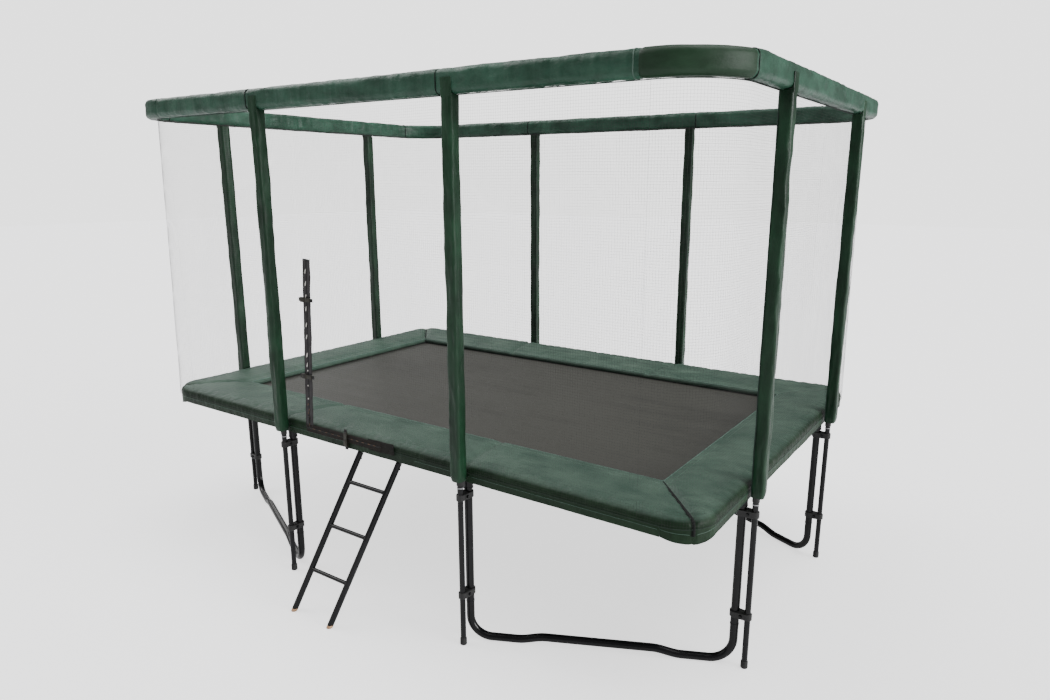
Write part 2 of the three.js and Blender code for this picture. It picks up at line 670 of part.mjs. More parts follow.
function longCushion() {
  const seamStations = [SEAM_HALF_WIDTH, 0, -SEAM_HALF_WIDTH].map((offset) => {
    const x = LONG_SEAM_X + offset;
    return padStation(flat(x, padOuterY), flat(x, padInnerY), flat(0, 1), offset === 0);
  });
  const bend = bendAngles.map((angle, i) => bendStation(angle, i ? none : flat(-SEAT, 0)));
  const right = [...bend, ...seamStations];
  return loft([...right.map(mirrorX), ...right.slice().reverse()], padSection(padOuterY - padInnerY, false));
}
function shortCushion() {
  const middle = [SEAM_HALF_WIDTH, 0].map((y) =>
    padStation(flat(padOuterX, y), flat(padInnerX, y), flat(1, 0), y === 0),
  );
  const bend = bendAngles.map((angle, i) => bendStation(Math.PI / 2 - angle, i ? none : flat(0, -SEAT)));
  const back = [...bend, middle[0]];
  return loft([...back, middle[1], ...back.map(mirrorY).reverse()], padSection(padOuterX - padInnerX, false));
}
const backCushion = longCushion();

// The front cushion leaves room for the loose skirt and for the ladder's hooks.
const skirtRoom = box(
  -looseSkirtX - SEAT,
  looseSkirtX + SEAT,
  padOuterY - SKIRT_THICKNESS - SEAT,
  padOuterY + 1,
  skirtBottom - 1,
  skirtHemTop + SEAT,
);
const hookRoom = ladderHooks.map((x) =>
  box(
    x - HOOK_WIDTH / 2 - SEAT * 4,
    x + HOOK_WIDTH / 2 + SEAT * 4,
    frameY - hookOuterRadius - HOOK_GAP,
    frameY + skirtOffset,
    skirtBottom,
    FRAME_HEIGHT + hookOuterRadius + HOOK_GAP,
  ),
);
piece("pad_back", backCushion, padCover);
piece("pad_front", cut(backCushion, skirtRoom, ...hookRoom), padCover).scale.y = -1;
const endCushion = shortCushion();
piece("pad_right", endCushion, padCover);
piece("pad_left", endCushion, padCover).rotation.z = Math.PI;
piece(
  "pad_skirt_front",
  box(-looseSkirtX, looseSkirtX, -padOuterY, -padOuterY + SKIRT_THICKNESS, skirtBottom, skirtHemTop),
  padCover,
);

// ---- Jumping mat and springs ----

const matX = hemX - HEM_WIDTH - SEAT;
const matY = hemY - HEM_WIDTH - SEAT;
const matBend = HEM_BEND - HEM_WIDTH;
piece(
  "jump_mat",
  plate(roundedRectangle(-matX, matX, -matY, matY, matBend), matHeight - MAT_THICKNESS / 2, MAT_THICKNESS),
  matFabric,
);

// A spring lies along its own X, from inside the hem to the flat side of the frame tube.
const springEnd = SPRING_SPAN + frameRadius * (1 - Math.cos(Math.PI / TUBE_SIDES)) - SEAT;
const spring = new THREE.LatheGeometry(
  [
    flat(0, -SPRING_HOLD),
    flat(SPRING_BARREL / 2, SPRING_HOOK),
    flat(SPRING_BARREL / 2, springEnd - SPRING_HOOK),
    flat(0, springEnd),
  ],
  SPRING_SIDES,
).rotateZ(-Math.PI / 2);
function springRow(count, reach, edge, turn) {
  return range(count).map((i) => {
    const along = -reach + (2 * reach * i) / (count - 1);
    return spring.clone().translate(edge, along, matHeight).rotateZ(turn);
  });
}
function springSet() {
  const hem = cut(
    plate(
      roundedRectangle(-hemX, hemX, -hemY, hemY, HEM_BEND),
      matHeight - HEM_THICKNESS / 2,
      HEM_THICKNESS,
    ),
    plate(
      roundedRectangle(-matX - SEAT, matX + SEAT, -matY - SEAT, matY + SEAT, matBend),
      matHeight - HEM_THICKNESS,
      2 * HEM_THICKNESS,
    ),
  );
  const rows = [0, Math.PI].flatMap((turn) => [
    ...springRow(SHORT_SIDE_SPRINGS, hemY - SPRING_CORNER, hemX, turn),
    ...springRow(LONG_SIDE_SPRINGS, hemX - SPRING_CORNER, hemY, turn + Math.PI / 2),
  ]);
  return join(hem, ...rows);
}
piece("spring_set", springSet(), springSteel);

// ---- Net ----

// The underside of a ring sleeve at a distance outside the middle of the frame.
function ringUnderside(offset) {
  const y = offset - POLE_OFFSET;
  const next = ringSection.map((point, i) => [point, ringSection[(i + 1) % ringSection.length]]);
  const drops = next
    .filter(([a, b]) => (a.y - y) * (b.y - y) <= 0 && a.y !== b.y)
    .map(([a, b]) => a.x + ((b.x - a.x) * (y - a.y)) / (b.y - a.y));
  return ringHeight - Math.max(...drops);
}
const netTop = ringUnderside(NET_OFFSET + NET_THICKNESS / 2) - SEAT;
const netTopBend = RING_BEND - POLE_OFFSET + NET_OFFSET;
const netBottomBend = padOuterBend + NET_CORNER_GAP;

// A net: columns and rows of openings in a thin sheet, whose upright edges run between two outlines.
function netPanel(bottomEdge, topEdge) {
  const columns = bottomEdge.length - 1;
  const rowHeight = (netTop - netBottom - 2 * NET_HEM) / NET_ROWS;
  const heights = range(NET_ROWS).flatMap((row) => [
    netBottom + NET_HEM + rowHeight * row + (row ? NET_STRAND / 2 : 0),
    netBottom + NET_HEM + rowHeight * (row + 1) - (row < NET_ROWS - 1 ? NET_STRAND / 2 : 0),
  ]);
  const levels = [netBottom, ...heights, netTop];
  // Each column is open between two upright lines, set in from its edges by half a strand.
  const openings = range(columns).flatMap((column) => [
    { column, atEnd: false, inset: NET_STRAND / 2 },
    { column, atEnd: true, inset: NET_STRAND / 2 },
  ]);
  openings[0].inset = NET_STRAND;
  openings[openings.length - 1].inset = NET_STRAND;
  const lines = [
    { column: 0, atEnd: false, inset: 0 },
    ...openings,
    { column: columns - 1, atEnd: true, inset: 0 },
  ];
  const place = ({ column, atEnd, inset }, level, side) => {
    const t = (level - netBottom) / (netTop - netBottom);
    const from = bottomEdge[column].point.clone().lerp(topEdge[column].point, t);
    const to = bottomEdge[column + 1].point.clone().lerp(topEdge[column + 1].point, t);
    const strand = inset / from.distanceTo(to);
    const share = atEnd ? 1 - strand : strand;
    const normal = bottomEdge[column].normal.clone().lerp(bottomEdge[column + 1].normal, share);
    const spot = from.lerp(to, share).addScaledVector(normal.normalize(), (side * NET_THICKNESS) / 2);
    return at(spot.x, spot.y, level);
  };
  const grid = [-1, 1].flatMap((side) =>
    levels.flatMap((level) => lines.map((line) => place(line, level, side))),
  );
  const wide = lines.length;
  const layer = wide * levels.length;
  const isInside = (i, j) => i >= 0 && j >= 0 && i < wide - 1 && j < levels.length - 1;
  const isOpen = (i, j) => i % 2 === 1 && j % 2 === 1;
  const isSheet = (i, j) => isInside(i, j) && !isOpen(i, j);
  const index = [];
  const quad = (a, b, c, d) => index.push(a, b, c, a, c, d);
  range(levels.length - 1).forEach((j) =>
    range(wide - 1).forEach((i) => {
      if (!isSheet(i, j)) return;
      const a = j * wide + i;
      const [b, c, d] = [a + 1, a + wide + 1, a + wide];
      quad(a + layer, d + layer, c + layer, b + layer);
      quad(a, b, c, d);
      if (!isSheet(i, j - 1)) quad(a, a + layer, b + layer, b);
      if (!isSheet(i + 1, j)) quad(b, b + layer, c + layer, c);
      if (!isSheet(i, j + 1)) quad(c, c + layer, d + layer, d);
      if (!isSheet(i - 1, j)) quad(d, d + layer, a + layer, a);
    }),
  );
  const geometry = new THREE.BufferGeometry().setFromPoints(grid);
  geometry.setIndex(index);
  geometry.computeVertexNormals();
  return geometry;
}

const netCorner = (bend, angle) => ({
  point: flat(netX - bend + bend * Math.cos(angle), netY - bend + bend * Math.sin(angle)),
  normal: flat(Math.cos(angle), Math.sin(angle)),
});
function longNetEdge(bend) {
  const reach = netX - bend - NET_STRAND;
  return range(LONG_NET_COLUMNS + 1).map((i) => ({
    point: flat(-reach + (2 * reach * i) / LONG_NET_COLUMNS, netY),
    normal: flat(0, 1),
  }));
}
function endNetEdge(bend) {
  const corner = range(CORNER_NET_COLUMNS + 1).map((i) =>
    netCorner(bend, (Math.PI / 2) * (1 - i / CORNER_NET_COLUMNS)),
  );
  const reach = netY - bend;
  const straight = range(SHORT_NET_COLUMNS - 1).map((i) => ({
    point: flat(netX, reach - (2 * reach * (i + 1)) / SHORT_NET_COLUMNS),
    normal: flat(1, 0),
  }));
  const mirrored = corner.map(({ point, normal }) => ({
    point: flat(point.x, -point.y),
    normal: flat(normal.x, -normal.y),
  }));
  return [...corner, ...straight, ...mirrored.reverse()];
}
const longNet = netPanel(longNetEdge(netBottomBend), longNetEdge(netTopBend));
const endNet = netPanel(endNetEdge(netBottomBend), endNetEdge(netTopBend));
piece("net_back", longNet, netCord);
piece("net_front", longNet, netCord).rotation.z = Math.PI;
piece("net_right", endNet, netCord);
piece("net_left", endNet, netCord).rotation.z = Math.PI;

// ---- Door: zip, slider and buckles ----

// Everything on the door is drawn flat, as seen from the front: x to the right, y up,
// and z outwards from the net. The door group stands it up.
const door = new THREE.Group();
door.position.set(0, -netFace - SEAT, 0);
door.rotation.set(Math.PI / 2, 0, 0);
trampoline.add(door);

// A slab in the door's plane: along x and the height, and from one depth to another.
const slab = (x0, x1, z0, z1, near, far) => box(x0, x1, z0, z1, near, far);
const tapeFace = ZIP_TAPE_THICKNESS;
const teethFace = tapeFace + ZIP_TEETH_HEIGHT;
const zipRun = flat(zipTop.x - zipCorner.x, zipTop.z - zipCorner.z);
const zipLean = Math.atan2(-zipRun.x, zipRun.y);
const zipXAt = (height) => zipCorner.x + (zipRun.x * (height - zipCorner.z)) / zipRun.y;

function zipStrip(width, near, far) {
  const half = width / 2;
  const upright = slab(-half, half, -half, zipRun.length(), near, far)
    .rotateZ(zipLean)
    .translate(zipCorner.x, zipCorner.z, 0);
  const level = slab(zipCorner.x - half, ZIP_END_X, zipCorner.z - half, zipCorner.z + half, near, far);
  return join(upright, level);
}

// A buckle at the door's origin: the housing to the left of the zip and the clip to its right.
const housingFar = tapeFace + BUCKLE_HOUSING.height;
const tongueNear = teethFace + SEAT + (BUCKLE_CLIP.height - BUCKLE_TONGUE.height) / 2;
function tongueBox(gap) {
  const half = BUCKLE_TONGUE.width / 2 + gap;
  return slab(
    -BUCKLE_OFFSET - BUCKLE_TONGUE.length - gap,
    -BUCKLE_OFFSET + 1,
    -half,
    half,
    tongueNear - gap,
    tongueNear + BUCKLE_TONGUE.height + gap,
  );
}
const housing = cut(
  slab(
    -BUCKLE_OFFSET - BUCKLE_HOUSING.length,
    -BUCKLE_OFFSET,
    -BUCKLE_HOUSING.width / 2,
    BUCKLE_HOUSING.width / 2,
    tapeFace / 2,
    housingFar,
  ),
  tongueBox(SEAT),
);
const clip = join(
  slab(
    -BUCKLE_OFFSET + SEAT,
    -BUCKLE_OFFSET + BUCKLE_CLIP.length,
    -BUCKLE_CLIP.width / 2,
    BUCKLE_CLIP.width / 2,
    teethFace + SEAT,
    teethFace + SEAT + BUCKLE_CLIP.height,
  ),
  tongueBox(0),
);
const buckles = [
  { name: "lower", x: LOWER_BUCKLE_X, height: zipCorner.z, turn: Math.PI / 2 },
  { name: "middle", x: zipXAt(middleBuckle), height: middleBuckle, turn: 0 },
  { name: "upper", x: zipXAt(upperBuckle), height: upperBuckle, turn: 0 },
];
const patch = slab(
  ZIP_END_X - 1,
  ZIP_END_X + ZIP_PATCH.length,
  zipCorner.z - ZIP_PATCH.height / 2,
  zipCorner.z + ZIP_PATCH.height / 2,
  0,
  ZIP_PATCH.thickness,
);
const zip = join(
  zipStrip(ZIP_TAPE, 0, tapeFace),
  zipStrip(ZIP_TEETH, tapeFace / 2, teethFace),
  patch,
  ...buckles.map(({ x, height, turn }) => housing.clone().rotateZ(turn).translate(x, height, 0)),
);
piece("door_zip", zip, zipFabric, door);
buckles.forEach(({ name, x, height, turn }) => {
  const part = piece("buckle_clip_" + name, clip, moulding, door);
  part.position.set(x, height, 0);
  part.rotation.z = turn;
});

const sliderNear = teethFace + SEAT;
const sliderFar = sliderNear + SLIDER.height;
const slider = join(
  slab(-SLIDER.width / 2, SLIDER.width / 2, 0, SLIDER.length, sliderNear, sliderFar),
  slab(
    -PULL_TAB.width / 2,
    PULL_TAB.width / 2,
    SLIDER.length / 2 - PULL_TAB.length,
    SLIDER.length / 2,
    sliderFar - 1,
    sliderFar + PULL_TAB.thickness,
  ),
);
const sliderMesh = piece("zip_slider", slider, moulding, door);
sliderMesh.position.set(zipXAt(zipCorner.z + SLIDER_START), zipCorner.z + SLIDER_START, 0);
sliderMesh.rotation.z = zipLean;

// ---- Ladder ----

const ladderRadius = LADDER_RAIL / 2;
// The rails point at the middle of the frame tube, on which the hooks turn.
const ladderTopY =
  -frameY - (LADDER_SPREAD * (FRAME_HEIGHT - ladderTop)) / FRAME_HEIGHT;
const foot = at(LADDER_FOOT_X, ladderFootY, 0);
const head = at(LADDER_TOP_X, ladderTopY, ladderTop);
const railAt = (height) => foot.clone().lerp(head, height / ladderTop);

// A flat strap up the outside of the frame tube, over it and down inside, as a profile in Y and Z.
function hookStrap(x) {
  const arc = (radius, from, to) =>
    range(HOOK_STEPS + 1).map((i) => {
      const angle = from + ((to - from) * i) / HOOK_STEPS;
      return flat(-frameY + radius * Math.cos(angle), FRAME_HEIGHT + radius * Math.sin(angle));
    });
  const profile = [
    flat(-frameY - hookInnerRadius, FRAME_HEIGHT - HOOK_RUN),
    ...arc(hookInnerRadius, Math.PI, 0),
    flat(-frameY + hookInnerRadius, FRAME_HEIGHT - HOOK_TIP),
    flat(-frameY + hookOuterRadius, FRAME_HEIGHT - HOOK_TIP),
    ...arc(hookOuterRadius, 0, Math.PI),
    flat(-frameY - hookOuterRadius, FRAME_HEIGHT - HOOK_RUN),
  ];
  const strap = plate(profile, 0, HOOK_WIDTH);
  const upright = new THREE.Matrix4().makeBasis(at(0, 1, 0), at(0, 0, 1), at(1, 0, 0));
  return strap.applyMatrix4(upright).translate(x - HOOK_WIDTH / 2, 0, 0);
}
function ladderRail(facing) {
  const belowGround = foot.clone().add(foot.clone().sub(head).setLength(LADDER_RAIL));
  const holes = Object.values(rungHeights).map((height) => {
    const middle = railAt(height);
    const deep = middle.clone().add(at(facing * (ladderRadius - RUNG_SEAT - SEAT), 0, 0));
    return tube([deep, middle.add(at(facing * LADDER_RAIL, 0, 0))], clear(RUNG_TUBE / 2, SEAT));
  });
  const floor = box(
    foot.x - LADDER_RAIL * 2,
    foot.x + LADDER_RAIL * 2,
    foot.y - LADDER_RAIL * 2,
    foot.y + LADDER_RAIL * 2,
    -LADDER_RAIL * 2,
    0,
  );
  return cut(join(tube([belowGround, head], ladderRadius), hookStrap(LADDER_TOP_X)), floor, ...holes);
}
piece("ladder_rail_left", ladderRail(1), blackSteel);
piece("ladder_rail_right", ladderRail(-1), blackSteel).position.set(LADDER_WIDTH, 0, 0);
const rungEnd = ladderRadius - RUNG_SEAT;
const rung = tube([at(rungEnd, 0, 0), at(LADDER_WIDTH - rungEnd, 0, 0)], RUNG_TUBE / 2);
Object.entries(rungHeights).forEach(([name, height]) =>
  piece("ladder_rung_" + name, rung, blackSteel).position.copy(railAt(height)),
);

export default trampoline;
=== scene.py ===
# %% [markdown]
# # A garden trampoline with a safety net
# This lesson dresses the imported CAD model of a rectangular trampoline. The model is loaded first
# and never changed. Each visible piece is then made again with smooth tube, cloth and wire, put in
# the place of its CAD solid, and tied to the body that carries it, so that it still moves.

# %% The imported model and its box
import math

import bmesh
import bpy
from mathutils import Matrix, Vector, noise


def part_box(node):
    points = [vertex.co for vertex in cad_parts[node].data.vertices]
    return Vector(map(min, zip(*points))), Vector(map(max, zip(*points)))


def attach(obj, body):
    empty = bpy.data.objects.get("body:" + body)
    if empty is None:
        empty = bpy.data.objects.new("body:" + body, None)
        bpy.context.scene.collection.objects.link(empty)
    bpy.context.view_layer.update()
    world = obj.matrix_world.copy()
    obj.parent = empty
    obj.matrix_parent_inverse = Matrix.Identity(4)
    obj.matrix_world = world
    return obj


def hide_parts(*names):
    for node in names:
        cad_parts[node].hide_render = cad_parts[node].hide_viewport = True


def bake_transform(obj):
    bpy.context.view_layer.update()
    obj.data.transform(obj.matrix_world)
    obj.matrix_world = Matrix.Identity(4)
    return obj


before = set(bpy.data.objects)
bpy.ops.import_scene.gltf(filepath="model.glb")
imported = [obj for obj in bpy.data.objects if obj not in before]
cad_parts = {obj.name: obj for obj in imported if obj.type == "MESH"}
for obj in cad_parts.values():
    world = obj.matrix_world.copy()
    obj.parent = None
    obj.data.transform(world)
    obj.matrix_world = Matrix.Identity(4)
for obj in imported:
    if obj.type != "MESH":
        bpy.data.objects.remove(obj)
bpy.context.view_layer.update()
mat_low, mat_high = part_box("jump_mat")
MIDDLE_Y = (mat_low[1] + mat_high[1]) / 2  # the middle of the frame tubes in the model's frame

# %% [markdown]
# ## Sizes
# Everything is in metres. The sizes repeat the ones that drive the CAD model, so that a tube or a
# cushion lies where its solid is. Positions are given from the middle of the frame: `place` moves
# them into the model's own frame.

# %% Sizes of the real object
FRAME_X, FRAME_Y, FRAME_Z = 1.809, 1.199, 0.893  # middle of the frame tube
FRAME_TUBE, FRAME_BEND = 0.021, 0.14
LEG_X, LEG_Y, LEG_TUBE, LEG_TOP = 0.65, 0.65, 0.020, 0.869
LEG_JOINT, LEG_BEND, BASE_RUN, BASE_RAMP, BASE_RISE = 0.21, 0.11, 0.13, 0.14, 0.022
CORNER_END = 0.58
POLE_X, POLE_Y, POLE_TUBE, POLE_OFFSET = 1.869, 1.259, 0.014, 0.060
RING_Z, RING_BEND, RING_SEAM = 2.657, 0.30, 1.541
RING_HEIGHT, RING_DEPTH, RING_ROUND = 0.104, 0.072, 0.026
SLEEVE_LOW, SLEEVE_TOP = 0.872, 2.670
PAD_OUT_X, PAD_OUT_Y, PAD_OUT_BEND = 1.839, 1.229, 0.170
PAD_IN_X, PAD_IN_Y, PAD_IN_BEND = 1.5, 0.848, 0.012
PAD_UNDER, PAD_TOP, PAD_DROP = 0.9143, 0.9443, 0.013
SKIRT_LOW, HEM_TOP = 0.8563, 0.913
MAT_Z, HEM_X, HEM_Y = 0.896, 1.573, 0.963
NET_X, NET_Y, NET_LOW, NET_TOP = 1.844, 1.234, 0.905, 2.611
NET_BEND_LOW, NET_BEND_TOP = 0.175, 0.275
BASE_BODY = "trampoline"


def place(x, y, z):
    """A point given from the middle of the frame, in the model's frame."""
    return Vector((x, y + MIDDLE_Y, z))


# %% [markdown]
# ## Adding a node
# The backdrop, the finishes and the bent tubes are all node trees. `wire` adds a node, sets it up
# and joins its inputs in one line, so that a tree reads like a recipe.

# %% Adding a node
def wire(tree, kind, inputs=None, **settings):
    """A new node with its settings, and its inputs given as numbers or as other nodes' outputs."""
    node = tree.nodes.new(kind)
    for key, value in settings.items():
        setattr(node, key, value)
    for key, value in (inputs or {}).items():
        if isinstance(value, bpy.types.NodeSocket):
            tree.links.new(value, node.inputs[key])
        else:
            node.inputs[key].default_value = value
    return node


def seen_brighter(tree, socket, thrown, seen):
    """Lets something look brighter to the camera than the light it throws on other things."""
    ray = wire(tree, "ShaderNodeLightPath").outputs["Is Camera Ray"]
    choice = wire(tree, "ShaderNodeMapRange", {"Value": ray, "To Min": thrown, "To Max": seen})
    tree.links.new(choice.outputs["Result"], socket)


# %% [markdown]
# ## The camera and the light
# The camera stands where the photographer stood: a little above the rim, in front of the right
# half, looking left along the long side. Four wide, soft lights stand for the lamps of a white
# studio: one overhead, one high on the left, and two low ones behind, on the left and on the right,
# which draw bright edges on the tubes. The backdrop looks white, but it throws little light, so
# that dark cloth and steel keep their depth.

# %% Camera
LENS, FILM_WIDTH, SHIFT_X, SHIFT_Y = 25.62, 36, -0.0122, 0.0044
CAMERA_SPOT = (2.8112, -3.7893, 2.252)
LOOK_DOWN, ROLL, LOOK_LEFT = 0.2286, -0.002, 0.5968

camera_data = bpy.data.cameras.new("camera")
camera_data.lens, camera_data.sensor_width = LENS, FILM_WIDTH
camera_data.shift_x, camera_data.shift_y = SHIFT_X, SHIFT_Y
camera = bpy.data.objects.new("camera", camera_data)
camera.location = place(*CAMERA_SPOT)
camera.rotation_euler = (math.pi / 2 - LOOK_DOWN, ROLL, LOOK_LEFT)
bpy.context.collection.objects.link(camera)
bpy.context.scene.camera = camera

# %% Lights and world
LAMPS = {  # where the light comes from, its strength, and how wide it is in degrees
    "overhead": ((0.35, 0.30, 1.6), 2.9, 50),
    "left_side": ((-0.9, -0.30, 0.9), 2.2, 40),
    "back_left": ((-1.0, 0.45, 0.70), 0.9, 36),
    "back_right": ((1.0, 0.10, 0.20), 4.3, 26),
}
BACKDROP_THROWN, BACKDROP_SEEN = 0.34, 2.35

for name, (source, strength, softness) in LAMPS.items():
    data = bpy.data.lights.new(name, "SUN")
    data.energy, data.angle = strength, math.radians(softness)
    light = bpy.data.objects.new(name, data)
    light.rotation_euler = Vector(source).to_track_quat("Z", "Y").to_euler()
    bpy.context.collection.objects.link(light)

world = bpy.data.worlds.new("studio")
world.use_nodes = True
backdrop = world.node_tree.nodes["Background"]
backdrop.inputs["Color"].default_value = (1, 1, 1, 1)
seen_brighter(world.node_tree, backdrop.inputs["Strength"], BACKDROP_THROWN, BACKDROP_SEEN)
bpy.context.scene.world = world
print("lights", len(LAMPS))


# %% [markdown]
# ## Materials
# Each finish is a small node tree on one Principled shader. Patterns read Object coordinates,
# because every piece keeps its object at the origin. `Finish` holds the steps that come back in
# many finishes: a cloudy pattern, threads, a colour between two shades, and bumps.

# %% A helper for finishes
class Finish:
    """A material with one Principled shader, and the steps to draw on it."""

    def __init__(self, name, colour, roughness, metallic=0.0, **fixed):
        self.material = bpy.data.materials.new(name)
        self.material.use_nodes = True
        self.tree = self.material.node_tree
        self.shader = self.tree.nodes["Principled BSDF"]
        self.shader.inputs["Base Color"].default_value = (*colour, 1)
        self.shader.inputs["Roughness"].default_value = roughness
        self.shader.inputs["Metallic"].default_value = metallic
        for socket, value in fixed.items():
            self.shader.inputs[socket.replace("_", " ")].default_value = value
        self.place = self.add("ShaderNodeTexCoord").outputs["Object"]

    def add(self, kind, inputs=None, **settings):
        return wire(self.tree, kind, inputs, **settings)

    def stretched(self, scale):
        """The place on the object, scaled by a factor per axis."""
        mapped = self.add("ShaderNodeMapping", {"Vector": self.place, "Scale": scale})
        return mapped.outputs["Vector"]

    def cloud(self, scale, detail, at=None, roughness=0.5):
        """A soft, uneven pattern."""
        inputs = {"Vector": at or self.place, "Scale": scale, "Detail": detail}
        inputs["Roughness"] = roughness
        return self.add("ShaderNodeTexNoise", inputs).outputs["Fac"]

    def threads(self, scale, direction):
        """Fine parallel bands across an axis."""
        inputs = {"Vector": self.place, "Scale": scale, "Distortion": 0.4, "Detail": 1.0}
        return self.add("ShaderNodeTexWave", inputs, bands_direction=direction).outputs["Fac"]

    def added(self, a, b):
        return self.add("ShaderNodeMath", {0: a, 1: b}, operation="ADD").outputs[0]

    def times(self, a, b):
        return self.add("ShaderNodeMath", {0: a, 1: b}, operation="MULTIPLY").outputs[0]

    def ramp(self, value, low, high, dark, light):
        """Turns a pattern into a colour between two shades."""
        node = self.add("ShaderNodeValToRGB", {"Fac": value})
        first, last = node.color_ramp.elements
        first.position, last.position = low, high
        first.color, last.color = (*dark, 1), (*light, 1)
        return node.outputs["Color"]

    def shade(self, socket, value):
        """Joins a pattern to a socket of the shader."""
        self.tree.links.new(value, self.shader.inputs[socket])

    def between(self, value, low, high):
        """A pattern from 0 to 1 as a number between two limits."""
        inputs = {"Value": value, "To Min": low, "To Max": high}
        return self.add("ShaderNodeMapRange", inputs).outputs["Result"]

    def relief(self, *layers):
        """Bumps laid over each other: pairs of a pattern and its depth in metres."""
        normal = None
        for height, depth in layers:
            inputs = {"Height": height, "Distance": depth, "Strength": 1.0}
            if normal is not None:
                inputs["Normal"] = normal
            normal = self.add("ShaderNodeBump", inputs).outputs["Normal"]
        self.shade("Normal", normal)


# %% [markdown]
# ### Coated cloth
# The padding and the sleeves are woven polyester with a plastic coat: deep green, slightly shiny,
# creased where it was folded. Long soft creases, sharp crinkles and a fine weave are bumps laid
# over each other. The colour is painted darker in the crease hollows, as shade, and a random cloud
# varies its tone. The skirt is painted darker than the top of a cushion, as shade on its upright
# face, and turns to the top's colour up the shoulder.

# %% Coated cloth finishes
TONES = 0.12, 0.42
CLOTH_THREADS, THREAD_DEPTH = 260, 0.00005
CRUMPLE_DEPTH = 0.007


def coated_cloth(
    name, shades, roughness, crease_scale, crease_depth, shine, folds=None,
    crinkles=(2.0, 2.0, 2.0), crinkle_depth=0.002, upper=None,
):
    """Deep green cloth between two shades, darker in its crease hollows as painted shade.

    folds is the scale of soft crumples, if it has them. upper, if given, is two heights and two
    more shades: the cloth turns to those between the heights. The skirt uses it to go from its
    painted shade to the top's colour.
    """
    cloth = Finish(name, shades[1], roughness, Specular_IOR_Level=shine)
    creases = cloth.cloud(3.0, 4.0, cloth.stretched(crease_scale), 0.55)
    weave = cloth.added(cloth.threads(CLOTH_THREADS, "X"), cloth.threads(CLOTH_THREADS, "Z"))
    weave = cloth.added(weave, cloth.threads(CLOTH_THREADS, "Y"))
    # Painted shade: the colour follows the crease pattern, darker in its hollows, with a random
    # cloud for tone.
    pattern = cloth.times(creases, cloth.cloud(5.0, 3.0))
    colour = cloth.ramp(pattern, *TONES, *shades)
    if upper:
        low, high, *upper_shades = upper
        height = cloth.add("ShaderNodeSeparateXYZ", {0: cloth.place}).outputs["Z"]
        limits = {"Value": height, "From Min": low, "From Max": high}
        share = cloth.add("ShaderNodeMapRange", limits, interpolation_type="SMOOTHSTEP")
        above = cloth.ramp(pattern, *TONES, *upper_shades)
        blend = {0: share.outputs["Result"], 6: colour, 7: above}
        colour = cloth.add("ShaderNodeMix", blend, data_type="RGBA").outputs[2]
    cloth.shade("Base Color", colour)
    cloth.shade("Roughness", cloth.between(creases, roughness - 0.08, roughness + 0.12))
    ridges = {"Vector": cloth.stretched(crinkles), "Scale": 4.0, "Detail": 2.0}
    ridges.update(Roughness=0.6, Gain=2.0)
    crinkled = cloth.add("ShaderNodeTexNoise", ridges, noise_type="RIDGED_MULTIFRACTAL")
    layers = [(creases, crease_depth)]
    if folds:
        layers.append((cloth.cloud(6.0, 2.0, cloth.stretched(folds), 0.45), CRUMPLE_DEPTH))
    layers += [(crinkled.outputs["Fac"], crinkle_depth), (weave, THREAD_DEPTH)]
    cloth.relief(*layers)
    return cloth.material


PAD_SHADES = (0.023, 0.049, 0.035), (0.055, 0.091, 0.068)
# Painted shade: the skirt is coloured darker than the top, for its upright face in shade.
SKIRT_PAINTED_SHADE = (0.002, 0.010, 0.003), (0.009, 0.028, 0.011)
SLEEVE_SHADES = (0.0018, 0.012, 0.0045), (0.0085, 0.039, 0.017)
RING_SHADES = (0.007, 0.030, 0.017), (0.026, 0.078, 0.050)
# Painted shade: the taut panel round the front-right corner is coloured darker.
PANEL_PAINTED_SHADE = (0.003, 0.015, 0.005), (0.011, 0.034, 0.016)
PAD_CREASES, RING_CREASES = (2.2, 5.0, 2.2), (3, 3, 6)

pad_cloth = coated_cloth("pad_cloth", PAD_SHADES, 0.50, PAD_CREASES, 0.006, 0.18)
# The skirt's dark colour is painted shade; between two heights up the shoulder it turns to the
# top's colour.
shaded_skirt_cloth = coated_cloth(
    "shaded_skirt_cloth", SKIRT_PAINTED_SHADE, 0.46, PAD_CREASES, 0.006, 0.14,
    folds=(4.0, 4.0, 2.5), upper=(0.926, 0.948, *PAD_SHADES),
)
sleeve_cloth = coated_cloth(
    "sleeve_cloth", SLEEVE_SHADES, 0.38, (6, 6, 1.6), 0.007, 0.2,
    folds=(2.6, 2.6, 0.5), crinkles=(3.0, 3.0, 1.2), crinkle_depth=0.004,
)
ring_cloth = coated_cloth(
    "ring_cloth", RING_SHADES, 0.40, RING_CREASES, 0.007, 0.22,
    folds=(3.0, 3.0, 0.6), crinkles=(4.0, 4.0, 1.6), crinkle_depth=0.005,
)
shaded_panel_cloth = coated_cloth("shaded_panel_cloth", PANEL_PAINTED_SHADE, 0.46, RING_CREASES, 0.004, 0.2)
print("cloth finishes", 5)


# %% [markdown]
# ### Steel, rubber and plastic
# Powder-coated tube is black and half shiny, with a very fine orange-peel relief and dust that
# dulls it here and there. The springs are zinc-plated, the feet rubber, and the small fittings
# moulded plastic.

# %% Hard finishes
def powder_coat():
    """Black powder coat: very dark and fairly glossy, with fine dust and orange peel."""
    coat = Finish("powder_coat", (0.010, 0.0105, 0.011), 0.28, Specular_IOR_Level=0.20)
    dust, peel = coat.cloud(9.0, 6.0), coat.cloud(900.0, 1.0)
    black = coat.ramp(dust, 0.35, 0.8, (0.003, 0.0031, 0.0036), (0.008, 0.008, 0.009))
    coat.shade("Base Color", black)
    coat.shade("Roughness", coat.between(dust, 0.18, 0.34))
    coat.relief((peel, 0.0001))
    return coat.material


